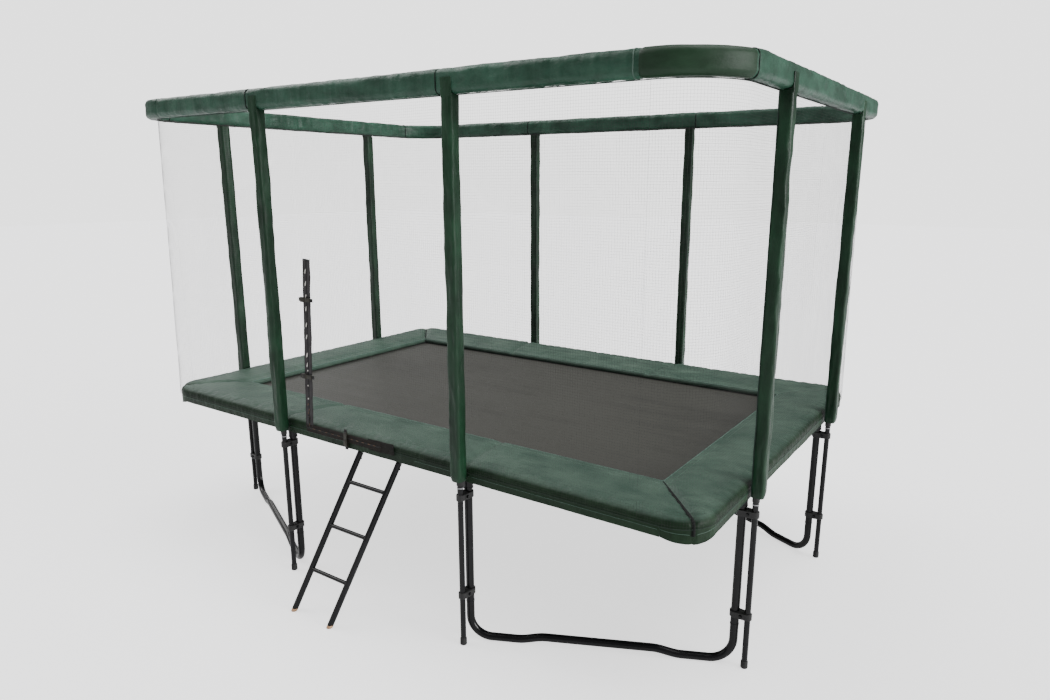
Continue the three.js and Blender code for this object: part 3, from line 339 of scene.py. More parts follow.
def zinc_wire():
    """Zinc plating on the spring wire, a little spotted."""
    zinc = Finish("zinc_wire", (0.56, 0.57, 0.58), 0.34, metallic=1.0)
    spots = zinc.cloud(60.0, 5.0)
    shade = zinc.ramp(spots, 0.3, 0.75, (0.36, 0.37, 0.38), (0.62, 0.63, 0.64))
    zinc.shade("Base Color", shade)
    zinc.shade("Roughness", zinc.between(spots, 0.25, 0.48))
    return zinc.material


def moulding(name, dark, light, roughness, grain=500.0):
    """A plain, slightly speckled stuff between two shades: plastic, rubber, thread or cord."""
    plain = Finish(name, light, roughness, Specular_IOR_Level=0.3)
    speckle = plain.cloud(40.0, 5.0)
    plain.shade("Base Color", plain.ramp(speckle, 0.3, 0.7, dark, light))
    plain.shade("Roughness", plain.between(speckle, roughness - 0.08, roughness + 0.10))
    plain.relief((plain.cloud(grain, 2.0), 0.0001))
    return plain.material


def grey(value):
    """A neutral grey."""
    return (value, value, value)


black_steel = powder_coat()
spring_zinc = zinc_wire()
rubber = moulding("foot_rubber", grey(0.010), grey(0.020), 0.72, 300.0)
plastic = moulding("fitting_plastic", grey(0.006), grey(0.014), 0.45)
foot_plug = moulding("ladder_foot_plug", (0.26, 0.15, 0.08), (0.42, 0.27, 0.16), 0.6)
steel_ring = moulding("bright_ring", (0.30, 0.30, 0.31), (0.42, 0.42, 0.43), 0.4)
net_cord = moulding("net_cord", (0.018, 0.018, 0.017), (0.034, 0.034, 0.033), 0.9, 1500.0)
net_hem = moulding("net_hem", (0.006, 0.014, 0.009), (0.014, 0.027, 0.019), 0.8)
buckle_plastic = moulding(
    "buckle_plastic", (0.006, 0.0055, 0.0035), (0.024, 0.022, 0.013), 0.5
)


# %% [markdown]
# ### Mat, tape and thread
# The jumping mat is woven from flat black plastic strips. They lie square to the mat, reflect a
# little, and fade to a warm grey. The zip's tape is a ribbed black ribbon.

# %% Woven finishes
def woven_mat():
    """Dull woven cloth with a fine weave, uneven in tone and streaked across."""
    mat = Finish("mat_weave", (0.06, 0.055, 0.052), 0.5, Specular_IOR_Level=0.15)
    weave = mat.times(mat.threads(150, "X"), mat.threads(150, "Y"))
    tone = mat.cloud(0.9, 3.0, mat.stretched((1.0, 1.8, 1.0)))
    streaks = mat.cloud(4.0, 4.0, mat.stretched((0.3, 3.0, 1.0)))
    shade = mat.added(mat.added(tone, streaks), mat.times(weave, 0.2))
    colour = mat.ramp(shade, 0.54, 1.34, (0.0195, 0.0195, 0.017), (0.038, 0.038, 0.033))
    mat.shade("Base Color", colour)
    mat.shade("Roughness", mat.between(streaks, 0.42, 0.62))
    mat.relief((tone, 0.004), (weave, 0.00007))
    return mat.material


def ribbed_tape(name, dark, light):
    """Webbing and zip tape: a fine rib between two shades."""
    tape = Finish(name, light, 0.75, Specular_IOR_Level=0.2)
    ribs = tape.added(tape.threads(420, "X"), tape.threads(420, "Z"))
    patches = tape.cloud(25.0, 4.0)
    tape.shade("Base Color", tape.ramp(tape.times(ribs, patches), 0.1, 0.8, dark, light))
    tape.relief((ribs, 0.0002))
    return tape.material


mat_weave = woven_mat()
zip_tape = ribbed_tape("zip_tape", (0.018, 0.017, 0.018), (0.062, 0.058, 0.060))
level_tape = ribbed_tape("level_tape", (0.004, 0.003, 0.0025), (0.018, 0.013, 0.010))
webbing = ribbed_tape("webbing", grey(0.010), grey(0.030))
patch_cloth = ribbed_tape("patch_cloth", (0.003, 0.003, 0.002), (0.010, 0.009, 0.007))
# Painted shadow: a near-black finish for the gaps in mitres and seams.
gap_shadow = moulding("gap_shadow", (0.0006, 0.0012, 0.0008), (0.0016, 0.0032, 0.0022), 0.9)
seam_thread = moulding("seam_thread", (0.004, 0.012, 0.009), (0.010, 0.024, 0.017), 0.7)
stitch_thread = moulding("stitch_thread", (0.10, 0.17, 0.13), (0.17, 0.26, 0.21), 0.7)
# Painted highlight: a pale cord for the bright line along a cushion's inner lip.
lip_highlight = moulding("lip_highlight", (0.045, 0.090, 0.070), (0.085, 0.145, 0.118), 0.5)
# A real welt, coloured pale as its painted highlight.
welt_and_highlight = moulding("welt_and_highlight", (0.030, 0.062, 0.046), (0.050, 0.092, 0.070), 0.5)
pale_bits = moulding("pale_bits", (0.42, 0.40, 0.37), (0.75, 0.73, 0.70), 0.5)
brown_bits = moulding("brown_bits", (0.06, 0.035, 0.022), (0.14, 0.085, 0.055), 0.7)

# %% [markdown]
# ### The floor
# A wide plain sheet, just under the feet. Like the backdrop it looks bright to the camera and
# throws less light.

# %% Floor
FLOOR_HALF, FLOOR_Z = 40.0, -0.001
FLOOR_THROWN, FLOOR_SEEN = 0.60, 1.35

studio_floor = moulding("studio_floor", (0.50, 0.50, 0.51), (0.52, 0.52, 0.53), 0.9, 20.0)
floor_shader = studio_floor.node_tree.nodes["Principled BSDF"].inputs
floor_shader["Specular IOR Level"].default_value = 0.0
floor_shader["Emission Color"].default_value = (1, 1, 1, 1)
glow = floor_shader["Emission Strength"]
seen_brighter(studio_floor.node_tree, glow, FLOOR_THROWN, FLOOR_SEEN)
print("materials", len(bpy.data.materials))

floor_mesh = bpy.data.meshes.new("floor")
signs = ((-1, -1), (1, -1), (1, 1), (-1, 1))
corners = [(x * FLOOR_HALF, y * FLOOR_HALF, FLOOR_Z) for x, y in signs]
floor_mesh.from_pydata(corners, [], [(0, 1, 2, 3)])
floor_mesh.materials.append(studio_floor)
floor = bpy.data.objects.new("floor", floor_mesh)
bpy.context.collection.objects.link(floor)


# %% [markdown]
# ## Meshes and pieces
# A piece is often several shapes, such as a tube with its clamps. Each shape is a mesh with its own
# finish, and `piece` joins them into one object, hides the CAD nodes it stands for, and ties it to
# the body that carries it.

# %% Joining shapes into a piece
def mesh_of(points, faces, material, smooth_below=0.7):
    """A mesh with one finish, smooth where its faces meet at less than this angle."""
    mesh = bpy.data.meshes.new("shape")
    mesh.from_pydata([tuple(point) for point in points], [], faces)
    mesh.materials.append(material)
    mesh.shade_smooth()
    mesh.set_sharp_from_angle(angle=smooth_below)
    return mesh


def piece(name, shapes, stands_for, body=BASE_BODY):
    """One object made of several meshes, on its body, or on no body."""
    whole = bmesh.new()
    finishes = []
    for shape in shapes:
        known = len(whole.faces)
        whole.from_mesh(shape)
        whole.faces.ensure_lookup_table()
        for face in whole.faces[known:]:
            finish = shape.materials[face.material_index]
            if finish not in finishes:
                finishes.append(finish)
            face.material_index = finishes.index(finish)
    mesh = bpy.data.meshes.new(name)
    whole.to_mesh(mesh)
    whole.free()
    for finish in finishes:
        mesh.materials.append(finish)
    obj = bpy.data.objects.new(name, mesh)
    bpy.context.collection.objects.link(obj)
    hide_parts(*stands_for)
    if body:
        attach(obj, body)
    return obj


def shell(rings, material, closed=False, smooth_below=0.7):
    """A skin over rings of equally many points. A closed one has no ends."""
    count = len(rings[0])
    points = [point for ring in rings for point in ring]
    faces = []
    spans = len(rings) if closed else len(rings) - 1
    for i in range(spans):
        a, b = i * count, ((i + 1) % len(rings)) * count
        for j in range(count):
            k = (j + 1) % count
            faces.append((a + j, a + k, b + k, b + j))
    if not closed:
        last = (len(rings) - 1) * count
        faces.append(tuple(range(count - 1, -1, -1)))
        faces.append(tuple(last + j for j in range(count)))
    return mesh_of(points, faces, material, smooth_below)


def turned(mesh):
    """The same mesh with its faces pointing outwards."""
    shape = bmesh.new()
    shape.from_mesh(mesh)
    bmesh.ops.recalc_face_normals(shape, faces=shape.faces)
    shape.to_mesh(mesh)
    shape.free()
    return mesh


# %% [markdown]
# ## Tube by Geometry Nodes
# Nearly every hard piece of a trampoline is bent tube. One small tree does it: it takes a line of
# edges, makes it a curve, sweeps a circle along it and closes the ends. The radius, the number of
# sides and the finish are named inputs, so the same tree makes a leg, a rung or a seam cord.

# %% The tube tree
def new_tree(name, inputs):
    """An empty tree with a geometry input and output and these named inputs."""
    tree = bpy.data.node_groups.new(name, "GeometryNodeTree")
    face = tree.interface
    face.new_socket("Geometry", in_out="INPUT", socket_type="NodeSocketGeometry")
    for label, kind in inputs.items():
        face.new_socket(label, in_out="INPUT", socket_type="NodeSocket" + kind)
    face.new_socket("Geometry", in_out="OUTPUT", socket_type="NodeSocketGeometry")
    return tree, tree.nodes.new("NodeGroupInput").outputs, tree.nodes.new("NodeGroupOutput").inputs


def close_tree(tree, geometry, material, output):
    """Ends a tree: real geometry instead of instances, with its finish."""
    real = wire(tree, "GeometryNodeRealizeInstances", {"Geometry": geometry})
    finish = {"Geometry": real.outputs[0], "Material": material}
    dressed = wire(tree, "GeometryNodeSetMaterial", finish)
    tree.links.new(dressed.outputs[0], output)
    return tree


def swept(tree, line, sides, radius, caps=True):
    """A circle swept along a line."""
    inputs = {"Resolution": sides, "Radius": radius}
    circle = wire(tree, "GeometryNodeCurvePrimitiveCircle", inputs).outputs[0]
    inputs = {"Curve": line, "Profile Curve": circle, "Fill Caps": caps}
    return wire(tree, "GeometryNodeCurveToMesh", inputs).outputs[0]


def make_tube_tree():
    """A round tube along the edges of a mesh."""
    inputs = {"Radius": "Float", "Sides": "Int", "Finish": "Material"}
    tree, inside, outside = new_tree("bent_tube", inputs)
    line = wire(tree, "GeometryNodeMeshToCurve", {"Mesh": inside["Geometry"]})
    sweep = swept(tree, line.outputs[0], inside["Sides"], inside["Radius"])
    return close_tree(tree, sweep, inside["Finish"], outside[0])


def grown(tree, points, edges, values, smooth_below=0.7, outwards=None):
    """Runs a tree on a mesh of points and edges, and returns the result as a plain mesh.

    outwards, if given, is a direction for each point, which the tree reads as an attribute.
    """
    start = bpy.data.meshes.new("start")
    start.from_pydata([tuple(point) for point in points], edges, [])
    if outwards:
        attribute = start.attributes.new("outwards", "FLOAT_VECTOR", "POINT")
        for value, direction in zip(attribute.data, outwards):
            value.vector = direction
    obj = bpy.data.objects.new("start", start)
    bpy.context.collection.objects.link(obj)
    modifier = obj.modifiers.new("grow", "NODES")
    modifier.node_group = tree
    for item in tree.interface.items_tree:
        if item.in_out == "INPUT" and item.name in values:
            modifier[item.identifier] = values[item.name]
    ready = obj.evaluated_get(bpy.context.evaluated_depsgraph_get())
    mesh = bpy.data.meshes.new_from_object(ready)
    bpy.data.objects.remove(obj)
    mesh.shade_smooth()
    if smooth_below is not None:
        mesh.set_sharp_from_angle(angle=smooth_below)
    return mesh


tube_tree = make_tube_tree()


def chain(points):
    """The edges that join each point to the next."""
    return [(i, i + 1) for i in range(len(points) - 1)]


def tube(points, radius, material, sides=24, closed=False):
    """A round tube through some points."""
    edges = chain(points)
    if closed:
        edges.append((len(points) - 1, 0))
    values = {"Radius": radius, "Sides": sides, "Finish": material}
    return turned(grown(tube_tree, points, edges, values))


def post(x, y, low, high, radius, material, sides=24):
    """An upright tube."""
    return tube([place(x, y, low), place(x, y, high)], radius, material, sides)


# %% [markdown]
# ## The frame
# The frame is a rounded rectangle in four bent corners and two straight rails. A quarter of the
# trampoline is drawn once and used four times: `QUARTERS` gives each one its name and the signs
# that mirror it.

# %% Frame tubes
QUARTERS = [
    ("back_right", 1, 1), ("back_left", -1, 1), ("front_right", 1, -1), ("front_left", -1, -1)
]
GAP = 0.0003  # between two ends that meet
MANY_SIDES = 28  # of a thick tube
SOCKET_TUBE, SOCKET_LOW = 0.0235, FRAME_Z - FRAME_TUBE - 0.057
EDGE_RADIUS, EDGE_HALF = 0.0248, 0.004  # the rolled edge round a socket's mouth


def corner_line(half_x, half_y, bend, start_x, end_y, steps=14):
    """Points along the back, round the right corner, and along the right side."""
    arc = []
    for i in range(steps + 1):
        angle = math.pi / 2 * (1 - i / steps)
        arc.append((half_x - bend + bend * math.cos(angle), half_y - bend + bend * math.sin(angle)))
    return [(start_x, half_y), *arc, (half_x, end_y)]


def rolled_edge(x, y, low, radius):
    """A short collar round the lower end of a socket or an upright."""
    return post(x, y, low, low + 2 * EDGE_HALF, radius, black_steel)


def steel_piece(name, shapes, stands_for, body=BASE_BODY):
    """A piece whose main finish is the black powder coat."""
    return piece(name, shapes, stands_for, body)


corner = corner_line(FRAME_X, FRAME_Y, FRAME_BEND, CORNER_END, GAP)
for name, sx, sy in QUARTERS:
    line = [place(x * sx, y * sy, FRAME_Z) for x, y in corner]
    shapes = [tube(line, FRAME_TUBE, black_steel, MANY_SIDES)]
    for x, y in ((LEG_X * sx, FRAME_Y * sy), (FRAME_X * sx, LEG_Y * sy)):
        shapes.append(post(x, y, SOCKET_LOW, FRAME_Z, SOCKET_TUBE, black_steel, MANY_SIDES))
        shapes.append(rolled_edge(x, y, SOCKET_LOW, EDGE_RADIUS))
    steel_piece("corner_tube_" + name, shapes, ["frame_corner_" + name])

for name, sy in (("back", 1), ("front", -1)):
    end = CORNER_END - GAP
    line = [place(-end, FRAME_Y * sy, FRAME_Z), place(end, FRAME_Y * sy, FRAME_Z)]
    rail = tube(line, FRAME_TUBE, black_steel, MANY_SIDES)
    steel_piece("side_rail_" + name, [rail], ["frame_rail_" + name])
print("frame corners and rails", 6)

# %% [markdown]
# ## Legs
# Two uprights hang from each corner tube. A bent base tube joins them across the corner: it drops
# out of one upright, turns along the ground, rises a little in the middle, and goes up into the
# other. The bends are arcs, and the low hump is a smooth step.

# %% Leg tubes
BEND_STEPS, RAMP_STEPS = 12, 8
JOINT_EDGE = LEG_TUBE + 0.0012


def base_line(span):
    """The base in its own upright plane: distances along it and heights."""
    half = [(0, LEG_JOINT - GAP)]
    for i in range(BEND_STEPS + 1):
        angle = math.pi / 2 * i / BEND_STEPS
        height = LEG_TUBE + LEG_BEND * (1 - math.sin(angle))
        half.append((LEG_BEND * (1 - math.cos(angle)), height))
    for i in range(RAMP_STEPS + 1):
        t = i / RAMP_STEPS
        rise = BASE_RISE * t * t * (3 - 2 * t)
        half.append((LEG_BEND + BASE_RUN + BASE_RAMP * t, LEG_TUBE + rise))
    return half + [(span - x, z) for x, z in reversed(half)]


for name, sx, sy in QUARTERS:
    start, end = Vector((LEG_X * sx, FRAME_Y * sy)), Vector((FRAME_X * sx, LEG_Y * sy))
    along = (end - start).normalized()
    points = [place(*(start + along * d), z) for d, z in base_line((end - start).length)]
    base = tube(points, LEG_TUBE, black_steel, MANY_SIDES)
    steel_piece("base_tube_" + name, [base], ["leg_base_" + name])
    for side, (x, y) in (("long", start), ("short", end)):
        upright = post(x, y, LEG_JOINT, LEG_TOP, LEG_TUBE, black_steel, MANY_SIDES)
        own = f"{name}_{side}"
        shapes = [upright, rolled_edge(x, y, LEG_JOINT, JOINT_EDGE)]
        steel_piece("upright_" + own, shapes, ["leg_upright_" + own])
print("leg pieces", 12)

# %% [markdown]
# ## Enclosure poles
# A pole stands on the ground outside each leg, on a rubber foot. Two moulded clamps tie it to the
# upright, with a bolt through each. Just under its sleeve it has a bright steel ring, and a
# moulded saddle at its top carries the ring. The clamp is an outline round both tubes, drawn as a
# thick plate with a softened edge.

# %% Clamps and poles
CLAMP_HEIGHTS = (0.270, 0.785)
CLAMP_HALF, CLAMP_WALL, CLAMP_EDGE, ARC_STEPS = 0.034 / 2, 0.006, 0.003, 32
BOLT_SPOT = 0.028  # from the pole toward the leg
BOLT_PARTS = ((0.0295, 0.0068, 6), (0.0245, 0.0085, 20))  # bolt and washers
FOOT_LEVELS = ((0.0, 0.0155), (0.003, 0.0175), (0.034, 0.0170), (0.038, 0.0150))
POLE_LOW, POLE_HIGH = 0.03, RING_Z - 0.02
COLLARS = (  # low, high, radius, finish: the saddle, the bright ring and the plastic collar
    (RING_Z - 0.048, RING_Z - 0.004, 0.019, plastic),
    (0.832, 0.8355, POLE_TUBE + 0.0012, steel_ring),
    (0.846, 0.871, POLE_TUBE + 0.0030, plastic),
)


def stands(sx, sy):
    """A quarter's two poles: side name, place, and the outward direction."""
    return (
        ("long", LEG_X * sx, POLE_Y * sy, Vector((0, sy))),
        ("short", POLE_X * sx, LEG_Y * sy, Vector((sx, 0))),
    )


def clamp(x, y, out, height):
    """The block round a pole and its leg, as rings of an outline with rounded edges."""
    side = Vector((-out.y, out.x))
    outline = []
    for radius, shift, start in ((POLE_TUBE, 0, 0), (LEG_TUBE, -POLE_OFFSET, 1)):
        for i in range(ARC_STEPS + 1):
            angle = math.pi * (start + i / ARC_STEPS)
            reach = radius + CLAMP_WALL
            outline.append((reach * math.cos(angle), shift + reach * math.sin(angle), shift))
    rings = []
    inner = CLAMP_HALF - CLAMP_EDGE
    for z, inset in ((-CLAMP_HALF, CLAMP_EDGE), (-inner, 0), (inner, 0), (CLAMP_HALF, CLAMP_EDGE)):
        ring = []
        for u, v, middle in outline:
            pull = 1 - inset / math.hypot(u, v - middle)
            flat = side * u * pull + out * (middle + (v - middle) * pull)
            ring.append(place(x + flat.x, y + flat.y, height + z))
        rings.append(ring)
    return turned(shell(rings, plastic))


def bolt(x, y, out, height):
    """A six-sided bolt and its round washers, as two short tubes right through a clamp."""
    side = Vector((-out.y, out.x))
    middle = Vector((x, y)) - out * BOLT_SPOT
    shapes = []
    for reach, radius, sides in BOLT_PARTS:
        ends = [middle - side * reach, middle + side * reach]
        shapes.append(tube([place(*end, height) for end in ends], radius, black_steel, sides))
    return shapes


def circle(radius, count=24):
    """Points round a circle, as pairs."""
    angles = [2 * math.pi * i / count for i in range(count)]
    return [(radius * math.cos(angle), radius * math.sin(angle)) for angle in angles]


def pole_shapes(x, y, out):
    """A pole with its foot, collars, clamps and bolts."""
    rings = [[place(x + u, y + v, low) for u, v in circle(radius)] for low, radius in FOOT_LEVELS]
    shapes = [turned(shell(rings, rubber)), post(x, y, POLE_LOW, POLE_HIGH, POLE_TUBE, black_steel)]
    shapes += [post(x, y, low, high, radius, finish) for low, high, radius, finish in COLLARS]
    for height in CLAMP_HEIGHTS:
        shapes += [clamp(x, y, out, height), *bolt(x, y, out, height)]
    return shapes


for name, sx, sy in QUARTERS:
    for side, x, y, out in stands(sx, sy):
        own = f"{name}_{side}"
        steel_piece("enclosure_pole_" + own, pole_shapes(x, y, out), ["pole_" + own])
print("poles", 8)


# %% [markdown]
# ## Foam sleeves of the poles
# Each pole wears a foam sleeve in a sewn cover, a flattened box in section. It is drawn in at its
# lower end, waves a little along its length, and its outer half runs up over the front of the
# ring, where its open end shows. The skin is built ring by ring, and smooth noise pushes it in and
# out by a few millimetres, more at the edges, where cloth bunches.

# %% A rounded box section
def rounded_box(low_u, high_u, low_v, high_v, radius, per_side=6, per_corner=5):
    """A section as a list of (u, v), anticlockwise, with extra points along its flat sides."""
    middle_u, middle_v = (low_u + high_u) / 2, (low_v + high_v) / 2
    corners = [(high_u, high_v), (low_u, high_v), (low_u, low_v), (high_u, low_v)]
    outline = []
    for quarter, (u, v) in enumerate(corners):
        centre_u = u - math.copysign(radius, u - middle_u)
        centre_v = v - math.copysign(radius, v - middle_v)
        for i in range(per_corner + 1):
            angle = (quarter + i / per_corner) * math.pi / 2
            spot = centre_u + radius * math.cos(angle), centre_v + radius * math.sin(angle)
            outline.append(spot)
    filled = []
    for i, (u, v) in enumerate(outline):
        filled.append((u, v))
        if i % (per_corner + 1) == per_corner:
            next_u, next_v = outline[(i + 1) % len(outline)]
            for k in range(1, per_side):
                t = k / per_side
                filled.append((u + (next_u - u) * t, v + (next_v - v) * t))
    return filled


def ripple(point, scale, seed):
    """Smooth noise between about -1 and 1 at a place, stretched by a scale per axis."""
    x, y, z = point
    shifted = (x * scale[0] + seed, y * scale[1] + seed * 0.7, z * scale[2] - seed)
    return noise.noise(Vector(shifted))


def sharp_fold(point, scale, seed):
    """Noise with sharp ridges, between about -1.5 and 0.5."""
    return 0.5 - 2 * abs(ripple(point, scale, seed))


# %% Pole sleeves
SLEEVE_U, SLEEVE_IN, SLEEVE_OUT, SLEEVE_CORNER = 0.030, 0.022, 0.040, 0.014
FLAP_IN, FLAP_CORNER = 0.0262, 0.006
MOUTH_SIDE, MOUTH_IN, MOUTH_OUT, MOUTH_CORNER = 0.004, 0.0300, 0.0035, 0.003
RING_LOW = RING_Z - RING_HEIGHT / 2
FLAP_LOW = RING_LOW - 0.012
NECK_HEIGHT, NECK_SCALE, NECK_STEPS, SLEEVE_STEPS = 0.036, 0.84, 5, 140
SLEEVE_WAVE, SLEEVE_CRINKLE, SLEEVE_FOLD = 0.0026, 0.0011, 0.0020
SEAM_STEPS, SEAM_INSET, SEAM_CORD, SEAM_WAVE = 79, 0.01, 0.0026, 0.0015
SEAM_U, SEAM_V = -SLEEVE_U * 0.93, -SLEEVE_IN * 0.72


def sleeve_scale(z):
    """How far the sleeve is drawn in at a height."""
    t = min(max((z - SLEEVE_LOW) / NECK_HEIGHT, 0), 1)
    return NECK_SCALE + (1 - NECK_SCALE) * math.sin(t * math.pi / 2)


def sleeve_ring(x, y, out, section, z, seed):
    """A sleeve's section at a height, with its creases."""
    side = Vector((-out.y, out.x))
    scale = sleeve_scale(z)
    ring = []
    for u, v in section:
        spot = (u * 8 + x, v * 8 + y, z)
        fold = sharp_fold((spot[0], spot[1], z + 0.5 * u), (2.2, 2.2, 6.5), seed + 5)
        wave = SLEEVE_WAVE * ripple(spot, (5, 5, 4.0), seed)
        wave += SLEEVE_CRINKLE * ripple(spot, (14, 14, 17), seed) + SLEEVE_FOLD * fold
        size = scale * (1 + wave / SLEEVE_U)
        flat = side * u * size + out * (v * size)
        ring.append(place(x + flat.x, y + flat.y, z))
    return ring


def pole_sleeve(x, y, out, seed):
    """The sleeve's body, its flap over the ring, and a dark cap at the flap's open end, painted
    shade inside the mouth.
    """

    def skin(section, levels, finish):
        rings = [sleeve_ring(x, y, out, section, z, seed) for z in levels]
        return turned(shell(rings, finish))

    neck = [SLEEVE_LOW + NECK_HEIGHT * i / NECK_STEPS for i in range(NECK_STEPS)]
    start = SLEEVE_LOW + NECK_HEIGHT
    run = RING_LOW - 0.001 - start
    levels = neck + [start + run * i / SLEEVE_STEPS for i in range(SLEEVE_STEPS + 1)]
    body = rounded_box(-SLEEVE_U, SLEEVE_U, -SLEEVE_IN, SLEEVE_OUT, SLEEVE_CORNER)
    flap = rounded_box(-SLEEVE_U, SLEEVE_U, FLAP_IN, SLEEVE_OUT, FLAP_CORNER)
    half = SLEEVE_U - MOUTH_SIDE
    mouth = rounded_box(-half, half, MOUTH_IN, SLEEVE_OUT - MOUTH_OUT, MOUTH_CORNER)
    tops = [FLAP_LOW + (SLEEVE_TOP - FLAP_LOW) * i / 8 for i in range(9)]
    return [
        skin(body, levels, sleeve_cloth),
        skin(flap, tops, sleeve_cloth),
        # Painted shade: a thin dark cap stands for the shadow inside the sleeve's open end.
        skin(mouth, (SLEEVE_TOP - 0.002, SLEEVE_TOP + 0.0006), seam_thread),
    ]


def sleeve_seam(x, y, out, seed):
    """The sewn edge down the inner corner of a sleeve."""
    side = Vector((-out.y, out.x))
    run = RING_LOW - SLEEVE_LOW - 2 * SEAM_INSET
    points = []
    for i in range(SEAM_STEPS + 1):
        z = SLEEVE_LOW + SEAM_INSET + run * i / SEAM_STEPS
        scale = sleeve_scale(z)
        flat = side * (SEAM_U * scale) + out * (SEAM_V * scale)
        shift = SEAM_WAVE * ripple((x, y, z), (5, 5, 9), seed)
        points.append(place(x + flat.x + shift, y + flat.y + shift, z))
    return tube(points, SEAM_CORD, seam_thread, 8)


sleeves = []
for name, sx, sy in QUARTERS:
    for side, x, y, out in stands(sx, sy):
        own = f"{name}_{side}"
        seed = 3.1 * len(sleeves) + 1
        shapes = [*pole_sleeve(x, y, out, seed), sleeve_seam(x, y, out, seed)]
        sleeves.append(piece("foam_sleeve_" + own, shapes, ["pole_sleeve_" + own]))
print("pole sleeves", len(sleeves))

# %% [markdown]
# ## The ring
# A thin steel loop joins the tops of the poles. It is hidden in foam sleeves: one along each long
# side and one round each end. Their skin is a rounded box swept along the loop. It is pinched in
# where two covers meet and where a cover is sewn, and creased all along, less on one taut panel.

# %% A path round one end, and along one side
def end_path(half_x, half_y, bend, start_x, spacing):
    """Places and outward directions from the back, round the right end, to the front."""
    spots = []

    def straight(ax, ay, bx, by, normal):
        count = max(1, round(math.hypot(bx - ax, by - ay) / spacing))
        for i in range(count):
            t = i / count
            spots.append((Vector((ax + (bx - ax) * t, ay + (by - ay) * t)), Vector(normal)))

    def arc(cx, cy, start_angle):
        count = max(4, round(bend * math.pi / 2 / spacing))
        for i in range(count):
            angle = start_angle - math.pi / 2 * i / count
            normal = Vector((math.cos(angle), math.sin(angle)))
            spots.append((Vector((cx, cy)) + normal * bend, normal))

    straight(start_x, half_y, half_x - bend, half_y, (0, 1))
    arc(half_x - bend, half_y - bend, math.pi / 2)
    straight(half_x, half_y - bend, half_x, -half_y + bend, (1, 0))
    arc(half_x - bend, -half_y + bend, 0)
    straight(half_x - bend, -half_y, start_x, -half_y, (0, -1))
    spots.append((Vector((start_x, -half_y)), Vector((0, -1))))
    return spots


def side_path(start_x, end_x, y, normal_y, spacing):
    """Places and outward directions along a straight side."""
    count = max(1, round(abs(end_x - start_x) / spacing))
    places = [start_x + (end_x - start_x) * i / count for i in range(count + 1)]
    return [(Vector((x, y)), Vector((0, normal_y))) for x in places]


def turned_path(path):
    """The same path on the opposite end."""
    return [(-spot, -normal) for spot, normal in path]


def lengths_along(spots):
    """How far along a line of places each one is."""
    lengths = [0.0]
    for a, b in zip(spots, spots[1:]):
        lengths.append(lengths[-1] + (b - a).length)
    return lengths


# %% Ring sleeves
RING_SECTION = rounded_box(
    -RING_DEPTH / 2, RING_DEPTH / 2, -RING_HEIGHT / 2, RING_HEIGHT / 2, RING_ROUND, 5, 4
)
RING_WAVE, RING_CRINKLE, RING_FOLD = 0.0030, 0.0018, 0.0022
MEAN_RADIUS = 0.045  # of the section, which turns a wave in metres into a share
SEAM_PINCH, SEAM_WIDTH, END_WIDTH = 0.05, 0.010, 0.006
# The panel's darker colour is painted shade; its tautness is in the shape.
PANEL_FROM, PANEL_SLACK = 2.51, 0.3  # one sewn panel is tauter and darker than the rest
SEAM_SIZE = 0.985  # of a cross seam, against the section
THIN_CORD = 0.0016
RING_STEP = 0.011


def pinch(distance, places, width):
    """How near a distance is to any of these places, from 0 to 1."""
    return sum(math.exp(-(((distance - at) / width) ** 2)) for at in places)


def ring_skin(path, seed, seams, panel_from):
    """The cover along a path, drawn in at its seams, and its length."""
    travelled = lengths_along([spot for spot, _ in path])
    rings = []
    for (spot, normal), distance in zip(path, travelled):
        tight = 1 - SEAM_PINCH * pinch(distance, seams, SEAM_WIDTH)
        tight -= SEAM_PINCH * pinch(distance, (0, travelled[-1]), END_WIDTH)
        slack = PANEL_SLACK if distance >= panel_from else 1.0
        ring = []
        for out, up in RING_SECTION:
            key = (spot.x + out * 4, spot.y + out * 4, up * 5)
            small = RING_CRINKLE * ripple(key, (17, 17, 9), seed)
            small += RING_FOLD * sharp_fold(key, (13, 13, 3), seed + 5)
            wave = RING_WAVE * ripple(key, (4.5, 4.5, 5), seed) + slack * small
            size = tight * (1 + wave / MEAN_RADIUS)
            flat = spot + normal * out * size
            ring.append(place(flat.x, flat.y, RING_Z + up * size))
        rings.append(ring)
    skin = shell(rings, ring_cloth)
    # Faces on the panel take its painted shade.
    skin.materials.append(shaded_panel_cloth)
    for i, distance in enumerate(travelled[:-1]):
        if distance >= panel_from:
            for j in range(len(RING_SECTION)):
                skin.polygons[i * len(RING_SECTION) + j].material_index = 1
    return turned(skin), travelled[-1]


def sewn_line(path, out, up):
    """A cord of thread along a path, at an offset in the section."""
    points = [place(*(spot + normal * out), RING_Z + up) for spot, normal in path]
    return tube(points, THIN_CORD, seam_thread, 6)


def round_the_ring(path, at, cord_finish):
    """A ring of cord across the cover, a distance along the path, in the given finish."""
    travelled = 0.0
    for (a, normal), (b, _) in zip(path, path[1:]):
        travelled += (b - a).length
        if travelled >= at:
            break
    points = []
    for out, up in RING_SECTION:
        points.append(place(*(a + normal * out * SEAM_SIZE), RING_Z + up * SEAM_SIZE))
    return tube(points, SEAM_CORD, cord_finish, 6, closed=True)


